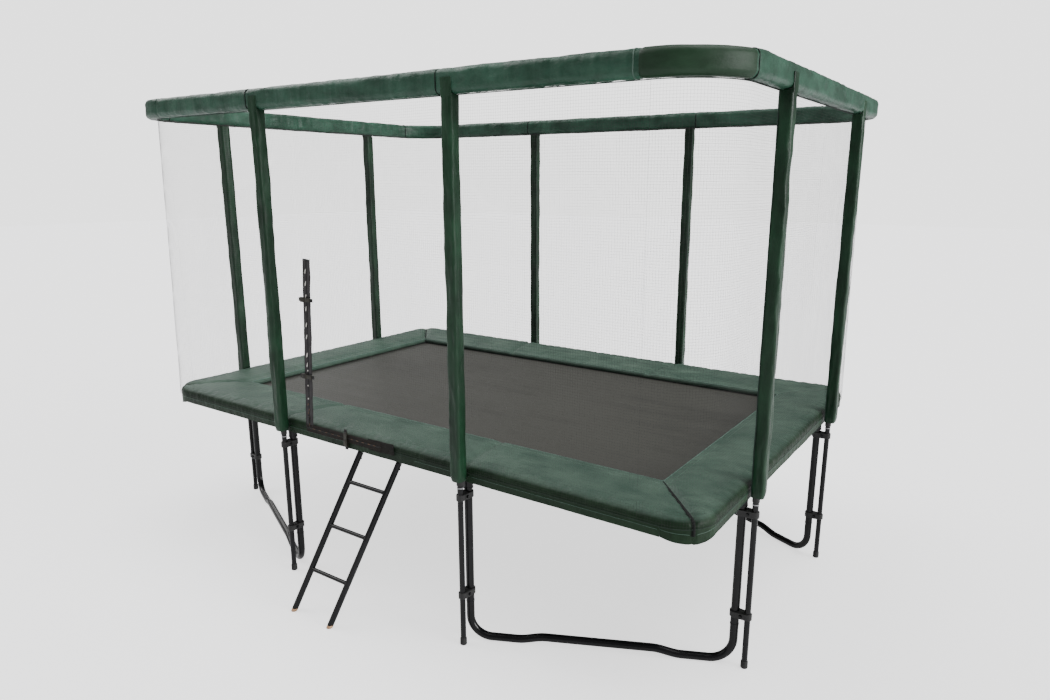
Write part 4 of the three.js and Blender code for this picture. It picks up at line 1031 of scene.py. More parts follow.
right_end = end_path(POLE_X, POLE_Y, RING_BEND, RING_SEAM + GAP, RING_STEP)
back_side = side_path(RING_SEAM, -RING_SEAM, POLE_Y, 1, RING_STEP)
front_side = side_path(-RING_SEAM, RING_SEAM, -POLE_Y, -1, RING_STEP)
RING_COVERS = {  # the path, the seams along it, and where the panel starts
    "back": (back_side, (0.841, 2.241), math.inf),
    "front": (front_side, (0.841, 2.141), math.inf),
    "right": (right_end, (0.40, PANEL_FROM), PANEL_FROM),
    "left": (turned_path(right_end), (0.40, PANEL_FROM), math.inf),
}
for index, (name, (path, seams, panel_from)) in enumerate(RING_COVERS.items()):
    skin, total = ring_skin(path, 11.3 * index + 2, seams, panel_from)
    shapes = [skin, sewn_line(path[1:-1], -RING_DEPTH * 0.18, -RING_HEIGHT / 2 - 0.001)]
    # At each sewn seam, a near-black ring is painted shadow in the pinched-in groove.
    shapes += [round_the_ring(path, at, gap_shadow) for at in seams]
    if name == "front":
        # A pale cord near the front cover's end, in the welt's painted-highlight finish.
        shapes.append(round_the_ring(path, total - 0.012, welt_and_highlight))
    cover = piece("ring_cover_" + name, shapes, ["ring_sleeve_" + name])
    print("ring cover", name, round(total, 3), "m long")

# %% The hidden ring tube
RING_TUBE = 0.0158
half_loop = end_path(POLE_X, POLE_Y, RING_BEND, 0.0, 0.05)[:-1]
line = [place(spot.x, spot.y, RING_Z) for spot, _ in half_loop + turned_path(half_loop)]
steel_piece("ring_loop", [tube(line, RING_TUBE, black_steel, 16, closed=True)], ["ring_tube"])

# %% [markdown]
# ## The rim padding
# Four cushions lie over the springs and meet in mitred corners. Each is a thin foam slab in coated
# cloth, a little lower at its inner edge, with a rounded shoulder over the frame and a skirt that
# hangs down outside. A section is drawn at many stations from the mitre at one end to the mitre at
# the other, joined from the inner rectangle to the rounded outer one.

# %% Sections of a cushion
SHOULDER, CROSS_SEAM = 0.030, 0.66
SKIRT = 0.003  # the thickness of the skirt
SKIRT_REACH = PAD_OUT_X - PAD_OUT_BEND - 0.003
FLATTENED, CROWN, LIP_WIDTH = 0.010, 0.004, 0.008
TOP_STEPS, SHOULDER_STEPS, OUTSIDE_STEPS, INSIDE_STEPS, UNDER_STEPS = 17, 5, 7, 5, 12
MITRE_STEPS, STATION = 9, 0.024
CORNER_DROP, HEM_WAVE, CREASE = 0.018, 0.003, 0.0012
SWAY_WIDE, SWAY_SMALL, EDGE_BAND = 0.0022, 0.0012, 0.02


def pad_profile(width, squeeze, skirt_low):
    """Points round a section: distance in from the outer face, and height.

    squeeze flattens it at a seam.
    """
    top = PAD_TOP - FLATTENED * squeeze
    inner_top, inner_low = top - PAD_DROP, PAD_UNDER - PAD_DROP
    crown = CROWN * (1 - squeeze)
    lip = width - LIP_WIDTH
    points = [(width - 0.004, inner_low + 0.001), (width - 0.0005, inner_low + 0.006)]
    points += [(width, inner_top - 0.012), (width - 0.002, inner_top - 0.005), (lip, inner_top)]
    for i in range(1, TOP_STEPS):
        t = i / TOP_STEPS
        height = inner_top + PAD_DROP * t**0.8 + crown * math.sin(math.pi * t)
        points.append((lip - (lip - SHOULDER) * t, height))
    for i in range(SHOULDER_STEPS + 1):
        angle = math.pi / 2 * (1 - i / SHOULDER_STEPS)
        drop = SHOULDER * (1 - math.sin(angle))
        points.append((SHOULDER * (1 - math.cos(angle)), top - drop))
    low = top - SHOULDER
    fall, rise = skirt_low - low, PAD_UNDER - skirt_low
    points += [(0, low + fall * i / OUTSIDE_STEPS) for i in range(1, OUTSIDE_STEPS + 1)]
    points += [(SKIRT, skirt_low + rise * i / INSIDE_STEPS) for i in range(INSIDE_STEPS + 1)]
    under = width - 0.012 - SKIRT
    for i in range(1, UNDER_STEPS):
        t = i / UNDER_STEPS
        points.append((SKIRT + under * t, PAD_UNDER + 0.0003 - PAD_DROP * max(0, t - 0.15)))
    return points


def pad_stations(long_side):
    """Outer place, inner place, outward direction and squeeze, from one mitre to the other."""
    outer_x, outer_y = (PAD_OUT_X, PAD_OUT_Y) if long_side else (PAD_OUT_Y, PAD_OUT_X)
    inner_x, inner_y = (PAD_IN_X, PAD_IN_Y) if long_side else (PAD_IN_Y, PAD_IN_X)
    half = []
    for i in range(MITRE_STEPS + 1):
        angle = math.pi / 4 * (1 + i / MITRE_STEPS)
        normal = Vector((math.cos(angle), math.sin(angle)))
        shift = Vector((0 if i else -GAP, 0))
        outer = Vector((outer_x - PAD_OUT_BEND, outer_y - PAD_OUT_BEND)) + normal * PAD_OUT_BEND
        inner = Vector((inner_x - PAD_IN_BEND, inner_y - PAD_IN_BEND)) + normal * PAD_IN_BEND
        half.append((outer + shift, inner + shift, normal, math.exp(-((i / 1.2) ** 2))))
    outer_run, inner_run = outer_x - PAD_OUT_BEND, inner_x - PAD_IN_BEND
    count = round(outer_run / STATION)
    for i in range(1, count + 1):
        t = 1 - i / count
        outer, inner = Vector((outer_run * t, outer_y)), Vector((inner_run * t, inner_y))
        seam = abs(outer.x - CROSS_SEAM) if long_side else 1.0
        half.append((outer, inner, Vector((0, 1)), math.exp(-((seam / 0.016) ** 2))))
    mirrored = [
        (*(Vector((-spot.x, spot.y)) for spot in spots), squeeze) for *spots, squeeze in half[:-1]
    ]
    return half + mirrored[::-1]


def pad_rings(long_side, turn, short_skirt):
    """The sections of one cushion as rings, turned to its side of the frame.

    With short_skirt it has a skirt only round its corners, and the loose one hangs between them.
    """
    cos, sin = math.cos(turn), math.sin(turn)

    def around(spot):
        return spot.x * cos - spot.y * sin, spot.x * sin + spot.y * cos

    rings = []
    for outer, inner, normal, squeeze in pad_stations(long_side):
        width = (outer - inner).dot(normal)
        # The hem hangs lowest where it goes round a corner, and waves a little along the sides.
        corner = abs(normal.x * normal.y) * 2
        wave = HEM_WAVE * ripple((outer.x, outer.y, turn), (3, 3, 1), 13.0)
        low = SKIRT_LOW - CORNER_DROP * corner - wave
        if short_skirt and abs(outer.x) < SKIRT_REACH:
            low = PAD_UNDER - 0.005
        away_x, away_y = around(normal)
        ring = []
        for inward, height in pad_profile(width, squeeze, low):
            x, y = around(outer.lerp(inner, inward / width))
            crease = sway = 0.0
            if inward < width - EDGE_BAND:
                crease = CREASE * (1 - squeeze) * ripple((x, y, height), (7, 7, 10), 4.0)
            if inward <= EDGE_BAND:
                sway = SWAY_WIDE * ripple((x, y, 0), (9, 9, 1), 8.0)
                sway += SWAY_SMALL * ripple((x, y, height), (26, 26, 8), 5.0)
                sway *= max(0.0, (PAD_UNDER - height) / (PAD_UNDER - low))
            ring.append(place(x + away_x * sway, y + away_y * sway, height + crease))
        rings.append(ring)
    return rings


# %% [markdown]
# ### Letting the cloth settle
# The cushions are puffed up by a short cloth simulation: a little pressure from inside, the sewn
# edges held fast, and twenty frames. What comes out is put back into the mesh, and no point may
# move further than a cap, so that a cushion stays in its own space.

# %% Cloth simulation
CLOTH_FRAMES, CLOTH_CAP = 20, 0.007
CLOTH_SETTINGS = {
    "quality": 4,
    "mass": 0.35,
    "use_pressure": True,
    "uniform_pressure_force": 3.0,
    "shrink_min": -0.012,
    "tension_stiffness": 12,
    "compression_stiffness": 12,
    "bending_stiffness": 0.6,
    "vertex_group_mass": "held",
}


def settle(objects):
    """Simulates these cushions together and keeps the result."""
    scene = bpy.context.scene
    for obj in objects:
        cloth = obj.modifiers.new("cloth", "CLOTH")
        for key, value in CLOTH_SETTINGS.items():
            setattr(cloth.settings, key, value)
        cloth.settings.effector_weights.gravity = 0
        cloth.point_cache.frame_start, cloth.point_cache.frame_end = 1, CLOTH_FRAMES
    for number in range(1, CLOTH_FRAMES + 1):
        scene.frame_set(number)
    graph = bpy.context.evaluated_depsgraph_get()
    for obj in objects:
        ready = obj.evaluated_get(graph).data
        moves = [b.co - a.co for a, b in zip(obj.data.vertices, ready.vertices)]
        for vertex, move in zip(obj.data.vertices, moves):
            if move.length > CLOTH_CAP:
                move *= CLOTH_CAP / move.length
            vertex.co += move
        obj.modifiers.clear()
        print("settled", obj.name, "most", round(max(m.length for m in moves) * 1000, 1), "mm")
    scene.frame_set(1)


FREE_FROM, FREE_TO = 5, 24  # the points of a section between which it may swell


def hold_edges(obj, rings):
    """Pins the seams, the skirt and the underside; the top is free."""
    held = obj.vertex_groups.new(name="held")
    count = len(rings[0])
    for i in range(len(rings)):
        near_end = min(i, len(rings) - 1 - i)
        for j in range(count):
            firm = 1.0
            if FREE_FROM < j < FREE_TO:
                edge = min(j - FREE_FROM, FREE_TO - j) / 3
                firm = 1 - min(edge, near_end / 2, 1)
            held.add([i * count + j], firm, "REPLACE")


# %% The four cushions
SIDES = {  # whether it lies on a long side, and how far it is turned
    "back": (True, 0.0),
    "right": (False, -math.pi / 2),
    "front": (True, math.pi),
    "left": (False, math.pi / 2),
}
# The faces of a section that take the skirt's painted shade.
SHADED_SKIRT_FACES = range(19, 40)
cushions, sections = {}, {}
for name, (long_side, turn) in SIDES.items():
    rings = pad_rings(long_side, turn, name == "front")
    skin = shell(rings, pad_cloth, smooth_below=1.2)
    skin.materials.append(shaded_skirt_cloth)
    for i in range(len(rings) - 1):
        for j in SHADED_SKIRT_FACES:
            skin.polygons[i * len(rings[0]) + j].material_index = 1
    obj = piece("cushion_" + name, [turned(skin)], ["pad_" + name])
    hold_edges(obj, rings)
    cushions[name], sections[name] = obj, rings
settle(list(cushions.values()))
for obj in cushions.values():
    obj.vertex_groups.clear()
print("cushions", len(cushions))

# %% [markdown]
# ### Seams of the padding
# Near-black cord lies in the mitres and follows them down over the edge: painted shadow in the gap
# between two cushions. A pale cord along the inner lip is a painted highlight, with a line of
# stitches beside it; a thin welt runs along the skirt, coloured pale as its painted highlight, and
# each long cushion has two cross seams. A stitch is a tiny bead; the tree sets beads along a line
# at an even step, turned the way the line runs.

# %% The stitch tree
def set_on_points(tree, points, instance, direction):
    """A copy of something on every point, turned so that its upright follows a direction."""
    turn = {"Vector": direction}
    turn = wire(tree, "FunctionNodeAlignRotationToVector", turn, axis="Z").outputs[0]
    inputs = {"Points": points, "Instance": instance, "Rotation": turn}
    return wire(tree, "GeometryNodeInstanceOnPoints", inputs).outputs[0]


def make_stitch_tree():
    """Long beads of thread, evenly spaced along the edges of a mesh."""
    inputs = {"Step": "Float", "Length": "Float", "Thickness": "Float", "Finish": "Material"}
    tree, inside, outside = new_tree("stitch_row", inputs)
    line = wire(tree, "GeometryNodeMeshToCurve", {"Mesh": inside["Geometry"]})
    spacing = {"Curve": line.outputs[0], "Length": inside["Step"]}
    dots = wire(tree, "GeometryNodeCurveToPoints", spacing, mode="LENGTH").outputs
    bead = wire(tree, "GeometryNodeMeshUVSphere", {"Segments": 6, "Rings": 4, "Radius": 0.5})
    size = {"X": inside["Thickness"], "Y": inside["Thickness"], "Z": inside["Length"]}
    size = wire(tree, "ShaderNodeCombineXYZ", size).outputs[0]
    shaped = wire(tree, "GeometryNodeTransform", {"Geometry": bead.outputs[0], "Scale": size})
    rows = set_on_points(tree, dots[0], shaped.outputs[0], dots["Tangent"])
    return close_tree(tree, rows, inside["Finish"], outside[0])


stitch_tree = make_stitch_tree()


def stitches(points, step, length, thickness, material, edges=None):
    """Stitches along a line of points, or along the given edges between them."""
    values = {"Step": step, "Length": length, "Thickness": thickness, "Finish": material}
    return grown(stitch_tree, points, edges or chain(points), values)


# %% Mitre cords and stitched lines
# Points round a section: the lip, the stitches beside it and the last point of the top; then, on
# the upright face, its first point, the mark of a cross seam, the welt and the hem; and behind the
# face, the point opposite the welt.
LIP, LIP_STITCHES, TOP_LAST = 4, 6, 20
FACE_FROM, SEAM_MARK, WELT, HEM, WELT_BACK = 26, 28, 29, 33, 38
OVER_TOP = range(2, HEM + 1)
WELT_RADIUS, WELT_PROUD, LIP_HIGHLIGHT_CORD, CROSS_CORD = 0.0011, 0.0004, 0.0024, 0.0018
MITRE_SHADOW, WIDE_MITRE_SHADOW = 0.0055, 0.0080
LIP_STITCH, CROSS_STITCH = (0.011, 0.007, 0.0012), (0.010, 0.0065, 0.0012)


def along_section(ring, lift):
    """The points from the lip over the top and down the skirt, a little proud of it."""
    middle = sum((ring[j] for j in OVER_TOP), Vector()) / len(OVER_TOP)
    points = []
    for j in OVER_TOP:
        away = ring[j] - middle
        flat = Vector((away.x, away.y, 0)).normalized() if j >= FACE_FROM else Vector((0, 0, 1))
        points.append(ring[j] + flat * lift)
    return points


def raised(ring, point, lift):
    """One point of a section, a little higher."""
    return ring[point] + Vector((0, 0, lift))


for name, rings in sections.items():
    mitre = along_section(rings[0], 0.0)[:-4]
    # The mitre cord is painted shadow in the gap between two cushions.
    shapes = [tube(mitre, WIDE_MITRE_SHADOW if name == "right" else MITRE_SHADOW, gap_shadow, 10)]
    beside_lip = [raised(ring, LIP_STITCHES, 0.0012) for ring in rings[3:-3]]
    shapes.append(stitches(beside_lip, *LIP_STITCH, stitch_thread))
    # A pale cord along the lip: painted highlight.
    shapes.append(tube([ring[LIP] for ring in rings[1:-1]], LIP_HIGHLIGHT_CORD, lip_highlight, 8))
    # The front cushion has a skirt of its own only round its corners.
    for part in (rings[1:11], rings[-11:-1]) if name == "front" else (rings[1:-1],):
        outwards = [(ring[WELT] - ring[WELT_BACK]).normalized() for ring in part]
        welt = [ring[WELT] + way * WELT_PROUD for ring, way in zip(part, outwards)]
        # The welt is real; its pale colour is painted highlight.
        shapes.append(tube(welt, WELT_RADIUS, welt_and_highlight, 8))
        hem = [raised(ring, HEM, 0.001) for ring in part]
        shapes.append(tube(hem, THIN_CORD, seam_thread, 8))
    if SIDES[name][0]:
        for ring in rings:
            if abs(abs(ring[TOP_LAST].x) - CROSS_SEAM * 0.98) < 0.013:
                over = along_section(ring, 0.001)[:24]
                shapes.append(stitches(over, *CROSS_STITCH, stitch_thread))
        for sign in (-1, 1):
            seam = min(rings, key=lambda ring: abs(ring[SEAM_MARK].x - sign * CROSS_SEAM))
            shapes.append(tube(along_section(seam, -0.0006)[:25], CROSS_CORD, seam_thread, 6))
    piece("cushion_seams_" + name, shapes, [])
print("seams of", len(sections), "cushions")

# %% [markdown]
# ### The loose skirt
# Between its corners the front cushion has no skirt of its own. A separate strip of cloth hangs
# there, in three lengths that meet at two slits. The ladder's hooks pass behind the middle length,
# so it is on no body, with its place laid into its points.

# %% The loose skirt in front
SLITS, SLIT_GAP = (-0.17, 0.32), 0.0002
SKIRT_STEP, SKIRT_ROWS, WELT_ROW = 0.022, 8, 4
SKIRT_THICKNESS, WELT_RISE = 0.0016, 0.0014
HANG_WIDE, HANG_SMALL, HANG_PROUD, HANG_LIFT = 0.0020, 0.0012, 0.0012, 0.0006


def skirt_spot(x, t, out=0.0):
    """A place on the hanging cloth, a share t of the way up from its hem."""
    z = SKIRT_LOW + (HEM_TOP - SKIRT_LOW) * t
    wave = HANG_WIDE * ripple((x, 0, 0), (8, 1, 1), 21.0)
    wave += HANG_SMALL * ripple((x, z, 0), (25, 9, 1), 6.0)
    return place(x, -PAD_OUT_Y - HANG_PROUD - out - (1 - t) * wave, z + HANG_LIFT)


def skirt_length(start, end):
    """The hanging cloth between two places along the front."""
    rows = [k / (SKIRT_ROWS - 1) for k in range(SKIRT_ROWS)]
    count = round((end - start) / SKIRT_STEP)
    rings = []
    for i in range(count + 1):
        x = start + (end - start) * i / count
        front = [skirt_spot(x, t, WELT_RISE if k == WELT_ROW else 0) for k, t in enumerate(rows)]
        behind = [skirt_spot(x, 1 - t, -SKIRT_THICKNESS) for t in rows]
        rings.append(front + behind)
    # The hanging strip takes the skirt's painted shade.
    return turned(shell(rings, shaded_skirt_cloth))


def skirt_welt(start, end):
    """A thin cord on the welt of a length, coloured pale as the welt's painted highlight."""
    count = round((end - start) / SKIRT_STEP)
    places = [start + (end - start) * (i + 0.5) / count for i in range(count)]
    line = [skirt_spot(x, WELT_ROW / (SKIRT_ROWS - 1), WELT_RISE + 0.0002) for x in places]
    return tube(line, WELT_RADIUS, welt_and_highlight, 8)


LENGTHS = {
    "left": (-SKIRT_REACH, SLITS[0]),
    "middle": (SLITS[0] + SLIT_GAP, SLITS[1] - SLIT_GAP),
    "right": (SLITS[1], SKIRT_REACH),
}
for name, (start, end) in LENGTHS.items():
    carrier = None if name == "middle" else BASE_BODY
    cloth = [skirt_length(start, end)]
    length = piece("loose_skirt_" + name, cloth, ["pad_skirt_front"], carrier)
    if name == "middle":
        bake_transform(length)
welts = [skirt_welt(*LENGTHS[name]) for name in ("left", "right")]
piece("loose_skirt_welts", welts, [])
print("loose skirt", round(2 * SKIRT_REACH, 3), "m")

# %% [markdown]
# ## The jumping mat and its springs
# The mat is one woven sheet with a webbing hem. It is stretched flat by springs that hook between
# the hem and the frame. A spring is a wound wire with a straight hook at each end: one tree winds
# it, lays it on its side, and sets a copy at every point of a row, all pointing outwards.

# %% The mat
HEM_WIDTH, HEM_HALF = 0.0383, 0.0036
MAT_X, MAT_Y = HEM_X - HEM_WIDTH, HEM_Y - HEM_WIDTH
COLUMNS, ROWS, CALM = 124, 76, 0.3  # it lies flatter within this distance of its edge
MAT_THICKNESS, MAT_WAVE, MAT_RIPPLE = 0.0024, 0.0035, 0.0012


def mat_height(x, y):
    """The height of the mat's cloth, which is calm near its edge."""
    free = min(1, min(MAT_X - abs(x), MAT_Y - abs(y)) / CALM)
    wave = MAT_WAVE * ripple((x, y, 0), (1.6, 2.2, 1), 3.0)
    wave += MAT_RIPPLE * ripple((x, y, 0), (7, 3, 1), 9.0)
    return MAT_Z + wave * free


points, faces = [], []
for j in range(ROWS + 1):
    for i in range(COLUMNS + 1):
        x, y = -MAT_X + 2 * MAT_X * i / COLUMNS, -MAT_Y + 2 * MAT_Y * j / ROWS
        points.append(place(x, y, mat_height(x, y)))
        if i and j:
            k = j * (COLUMNS + 1) + i
            faces.append((k - COLUMNS - 2, k - COLUMNS - 1, k, k - 1))
woven = mesh_of(points, faces, mat_weave)
mat = piece("jumping_mat", [woven], ["jump_mat"], "mat")
thicken = mat.modifiers.new("thickness", "SOLIDIFY")
thicken.thickness, thicken.offset = MAT_THICKNESS, 0
print("mat faces", len(faces))


# %% The spring tree
def make_spring_tree():
    """A hooked spring at every point of a mesh, pointing outwards."""
    inputs = dict.fromkeys(("Wire", "Barrel", "Turns", "Coil", "Hook"), "Float")
    tree, inside, outside = new_tree("spring_row", {**inputs, "Finish": "Material"})
    spiral = {"Resolution": 9, "Rotations": inside["Turns"], "Height": inside["Coil"]}
    spiral.update({"Start Radius": inside["Barrel"], "End Radius": inside["Barrel"]})
    coil = wire(tree, "GeometryNodeCurveSpiral", spiral)
    lift = wire(tree, "ShaderNodeCombineXYZ", {"Z": inside["Hook"]})
    lifted = {"Geometry": coil.outputs[0], "Translation": lift.outputs[0]}
    lifted = wire(tree, "GeometryNodeTransform", lifted)
    hooks = wire(tree, "ShaderNodeMath", {0: inside["Hook"], 1: 2.0}, operation="MULTIPLY")
    whole = wire(tree, "ShaderNodeMath", {0: hooks.outputs[0], 1: inside["Coil"]})
    far = wire(tree, "ShaderNodeCombineXYZ", {"Z": whole.outputs[0]})
    rod = wire(tree, "GeometryNodeCurvePrimitiveLine", {"End": far.outputs[0]})
    wires = wire(tree, "GeometryNodeJoinGeometry")
    tree.links.new(lifted.outputs[0], wires.inputs[0])
    tree.links.new(rod.outputs[0], wires.inputs[0])
    spring = swept(tree, wires.outputs[0], 5, inside["Wire"])
    points = wire(tree, "GeometryNodeMeshToPoints", {"Mesh": inside["Geometry"]})
    outwards = {"Name": "outwards"}
    outwards = wire(tree, "GeometryNodeInputNamedAttribute", outwards, data_type="FLOAT_VECTOR")
    rows = set_on_points(tree, points.outputs[0], spring, outwards.outputs[0])
    return close_tree(tree, rows, inside["Finish"], outside[0])


spring_tree = make_spring_tree()
LONG_ROW, SHORT_ROW = (19, 1.48, HEM_Y), (11, 0.87, HEM_X)  # how many, half the row, hem
SPAN, HOOK = 0.214, 0.038
SPRING = {"Wire": 0.0015, "Barrel": 0.0062, "Turns": 26.0, "Coil": SPAN - 2 * HOOK, "Hook": HOOK}
SPRING["Finish"] = spring_zinc
OUTWARDS = {"back": (0, 1), "front": (0, -1), "right": (1, 0), "left": (-1, 0)}


def spring_feet(nx, ny):
    """Where the springs of a side leave the hem."""
    count, reach, edge = LONG_ROW if ny else SHORT_ROW
    places = [-reach + 2 * reach * i / (count - 1) for i in range(count)]
    return [place(nx * edge + ny * along, ny * edge + nx * along, MAT_Z) for along in places]


def spring_row(feet, outwards):
    """A spring on every foot, all pointing the same way."""
    return turned(grown(spring_tree, feet, [], SPRING, None, [outwards] * len(feet)))


# %% The hem and the springs
def hem_band():
    """A strip of webbing round the mat, folded thick."""
    rings = []
    for half_x, half_y, corner in ((HEM_X, HEM_Y, 0.060), (MAT_X, MAT_Y, 0.022)):
        quarter = corner_line(half_x, half_y, corner, 0, 0, 8)
        loop = quarter + [(x, -y) for x, y in reversed(quarter[:-1])]
        loop += [(-x, y) for x, y in reversed(loop[1:-1])]
        for z in (-HEM_HALF, HEM_HALF):
            rings.append([place(x, y, MAT_Z + z) for x, y in loop])
    outer_low, outer_high, inner_low, inner_high = rings
    order = [outer_low, outer_high, inner_high, inner_low]
    return turned(shell(order, webbing, closed=True))


piece("mat_hem", [hem_band()], ["spring_set"], "mat")
for name, (nx, ny) in OUTWARDS.items():
    feet = spring_feet(nx, ny)
    springs = spring_row(feet, (nx, ny, 0))
    row = piece("springs_" + name, [springs], ["spring_set"], None)
    edge = feet[0] + Vector((nx, ny, 0)) * (SPAN + 0.02)
    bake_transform(row)
    print("springs", name, len(feet))

# %% [markdown]
# ## The net
# The net hangs from the ring down to the padding, just inside the poles. A real one is knitted
# from thin cord in small meshes. Here each panel starts as level and upright lines between its two
# outlines. A tree divides them into short steps, lets them wave a little, and sweeps a three-sided
# cord along each.

# %% The net tree
def make_net_tree():
    """Wavy cords along the edges of a mesh."""
    inputs = dict.fromkeys(("Cord", "Slack", "Seed", "Step"), "Float")
    tree, inside, outside = new_tree("knitted_net", {**inputs, "Finish": "Material"})
    lines = wire(tree, "GeometryNodeMeshToCurve", {"Mesh": inside["Geometry"]})
    even = {"Curve": lines.outputs[0], "Length": inside["Step"]}
    even = wire(tree, "GeometryNodeResampleCurve", even, mode="LENGTH")
    where = wire(tree, "GeometryNodeInputPosition")
    pattern = {"Vector": where.outputs[0], "W": inside["Seed"], "Scale": 2.2, "Detail": 2.0}
    waves = wire(tree, "ShaderNodeTexNoise", pattern, noise_dimensions="4D")
    centred = {0: waves.outputs["Color"], 1: (0.5, 0.5, 0.5)}
    centred = wire(tree, "ShaderNodeVectorMath", centred, operation="SUBTRACT")
    offset = {0: centred.outputs[0], "Scale": inside["Slack"]}
    offset = wire(tree, "ShaderNodeVectorMath", offset, operation="SCALE")
    moved = {"Geometry": even.outputs[0], "Offset": offset.outputs[0]}
    moved = wire(tree, "GeometryNodeSetPosition", moved)
    cords = swept(tree, moved.outputs[0], 3, inside["Cord"], caps=False)
    return close_tree(tree, cords, inside["Finish"], outside[0])


net_tree = make_net_tree()
MESH_SIZE, CORD, SLACK, CORD_STEP = 0.012, 0.00029, 0.012, 0.07
EVERY = 4  # a level cord is drawn through every fourth upright, since the tree divides it again
ALL_SMOOTH = 3.2
LOW_HEM, HIGH_HEM = 0.0013, 0.0020  # the radius of the cords along the edges


# %% Net panels
def net_panel(low_path, high_path, seed):
    """Level and upright cords between a lower and an upper line of equally many points."""
    rows = round((NET_TOP - NET_LOW) / MESH_SIZE)
    points, edges = [], []

    def strand(spots):
        edges.extend((len(points) + i, len(points) + j) for i, j in chain(spots))
        points.extend(spots)

    def level(t, lift=0):
        z = NET_LOW + (NET_TOP - NET_LOW) * t
        spots = [place(*low.lerp(high, t), z) for low, high in zip(low_path, high_path)]
        return [spot + Vector((0, 0, lift)) for spot in spots]

    for j in range(rows + 1):
        strand(level(j / rows)[::EVERY])
    for foot, head in zip(level(0), level(1)):
        strand([foot, head])
    values = {"Cord": CORD, "Slack": SLACK, "Seed": seed, "Step": CORD_STEP, "Finish": net_cord}
    cords = grown(net_tree, points, edges, values, ALL_SMOOTH)
    low_hem = tube(level(0), LOW_HEM, net_hem, 6)
    high_hems = [tube(level(1, lift), HIGH_HEM, net_cord, 6) for lift in (0, -0.006)]
    return [cords, low_hem, *high_hems]


def spread(path, count):
    """The same path with this many evenly spread points."""
    spots = [spot for spot, _ in path]
    lengths = lengths_along(spots)
    even, k = [], 0
    for i in range(count):
        at = lengths[-1] * i / (count - 1)
        while k < len(lengths) - 2 and lengths[k + 1] < at:
            k += 1
        t = (at - lengths[k]) / max(lengths[k + 1] - lengths[k], 1e-9)
        even.append(spots[k].lerp(spots[k + 1], min(t, 1)))
    return even


END_X = NET_X - NET_BEND_TOP - 0.007
end_low = end_path(NET_X, NET_Y, NET_BEND_LOW, END_X, 0.01)
end_high = end_path(NET_X, NET_Y, NET_BEND_TOP, END_X, 0.01)
back_run = side_path(END_X, -END_X, NET_Y, 1, MESH_SIZE)
front_run = side_path(-END_X, END_X, -NET_Y, -1, MESH_SIZE)
PANELS = {
    "right": (end_low, end_high),
    "left": (turned_path(end_low), turned_path(end_high)),
    "back": (back_run, back_run),
    "front": (front_run, front_run),
}
for index, (name, (low, high)) in enumerate(PANELS.items()):
    total = lengths_along([spot for spot, _ in high])[-1]
    count = EVERY * round(total / MESH_SIZE / EVERY) + 1
    shapes = net_panel(spread(low, count), spread(high, count), 2.0 * index)
    net = piece("knitted_" + name, shapes, ["net_" + name])
    print("net", name, "faces", len(net.data.polygons))

# %% [markdown]
# ## The door
# The door is a slit in the front net, closed by a zip that runs down and then along the skirt.
# The tape is a soft black ribbon that waves a little, with a ribbed strip and two rows of small
# teeth along its middle. Loose pale and brown bits of thread show on it here and there. Three
# buckles bridge the zip, and a dark cloth patch guards its end.

# %% Zip path and tape
ZIP_HIGH, ZIP_BEND, ZIP_END = (-0.383, 1.852), (-0.448, 0.915), 0.105
TAPE_HALF, LEVEL_HALF, TAPE_FRONT = 0.029, 0.022, -(NET_Y + 0.0015)
SWAY, LEVEL_SWAY, PATCH_SWAY = 0.0022, 0.0012, 0.0010
STRIP_HALF, STRIP_THICK = 0.0034, 0.0016
EDGE_HALF_WIDTH, EDGE_THICK = 0.0018, 0.0008
TEETH_DEPTH, TEETH_ASIDE, TEETH = 0.0034, 0.0016, (0.0042, 0.0026, 0.0016)


def zip_line(start, end, steps):
    """Evenly spread points (along, height) between two."""
    (x0, z0), (x1, z1) = start, end
    shares = [i / steps for i in range(steps + 1)]
    return [(x0 + (x1 - x0) * t, z0 + (z1 - z0) * t) for t in shares]


def ribbon(points, half, thick, depth, material, sway=0.0):
    """A flat strip in the door's plane, with a little wave in its width and depth."""
    rings = []
    for i, (x, z) in enumerate(points):
        before, after = points[max(i - 1, 0)], points[min(i + 1, len(points) - 1)]
        along = Vector((after[0] - before[0], after[1] - before[1])).normalized()
        side = Vector((-along.y, along.x))
        bend = sway * ripple((x, z, 0), (6, 6, 1), 31.0)
        width = half
        if sway:
            width *= 1 + 0.12 * ripple((x, z, 1), (14, 14, 1), 12.0)
        ring = []
        for u, y in ((-1, 0), (1, 0), (1, 1), (-1, 1)):
            spot = Vector((x, z)) + side * (u * width + bend)
            ring.append(place(spot.x, TAPE_FRONT - depth - thick * y - abs(bend) * 0.3, spot.y))
        rings.append(ring)
    return turned(shell(rings, material, smooth_below=0.5))


def zip_place(z):
    """How far along the front the zip's middle is at a height."""
    (high_x, high_z), (low_x, low_z) = ZIP_HIGH, ZIP_BEND
    return low_x + (high_x - low_x) * (z - low_z) / (high_z - low_z)


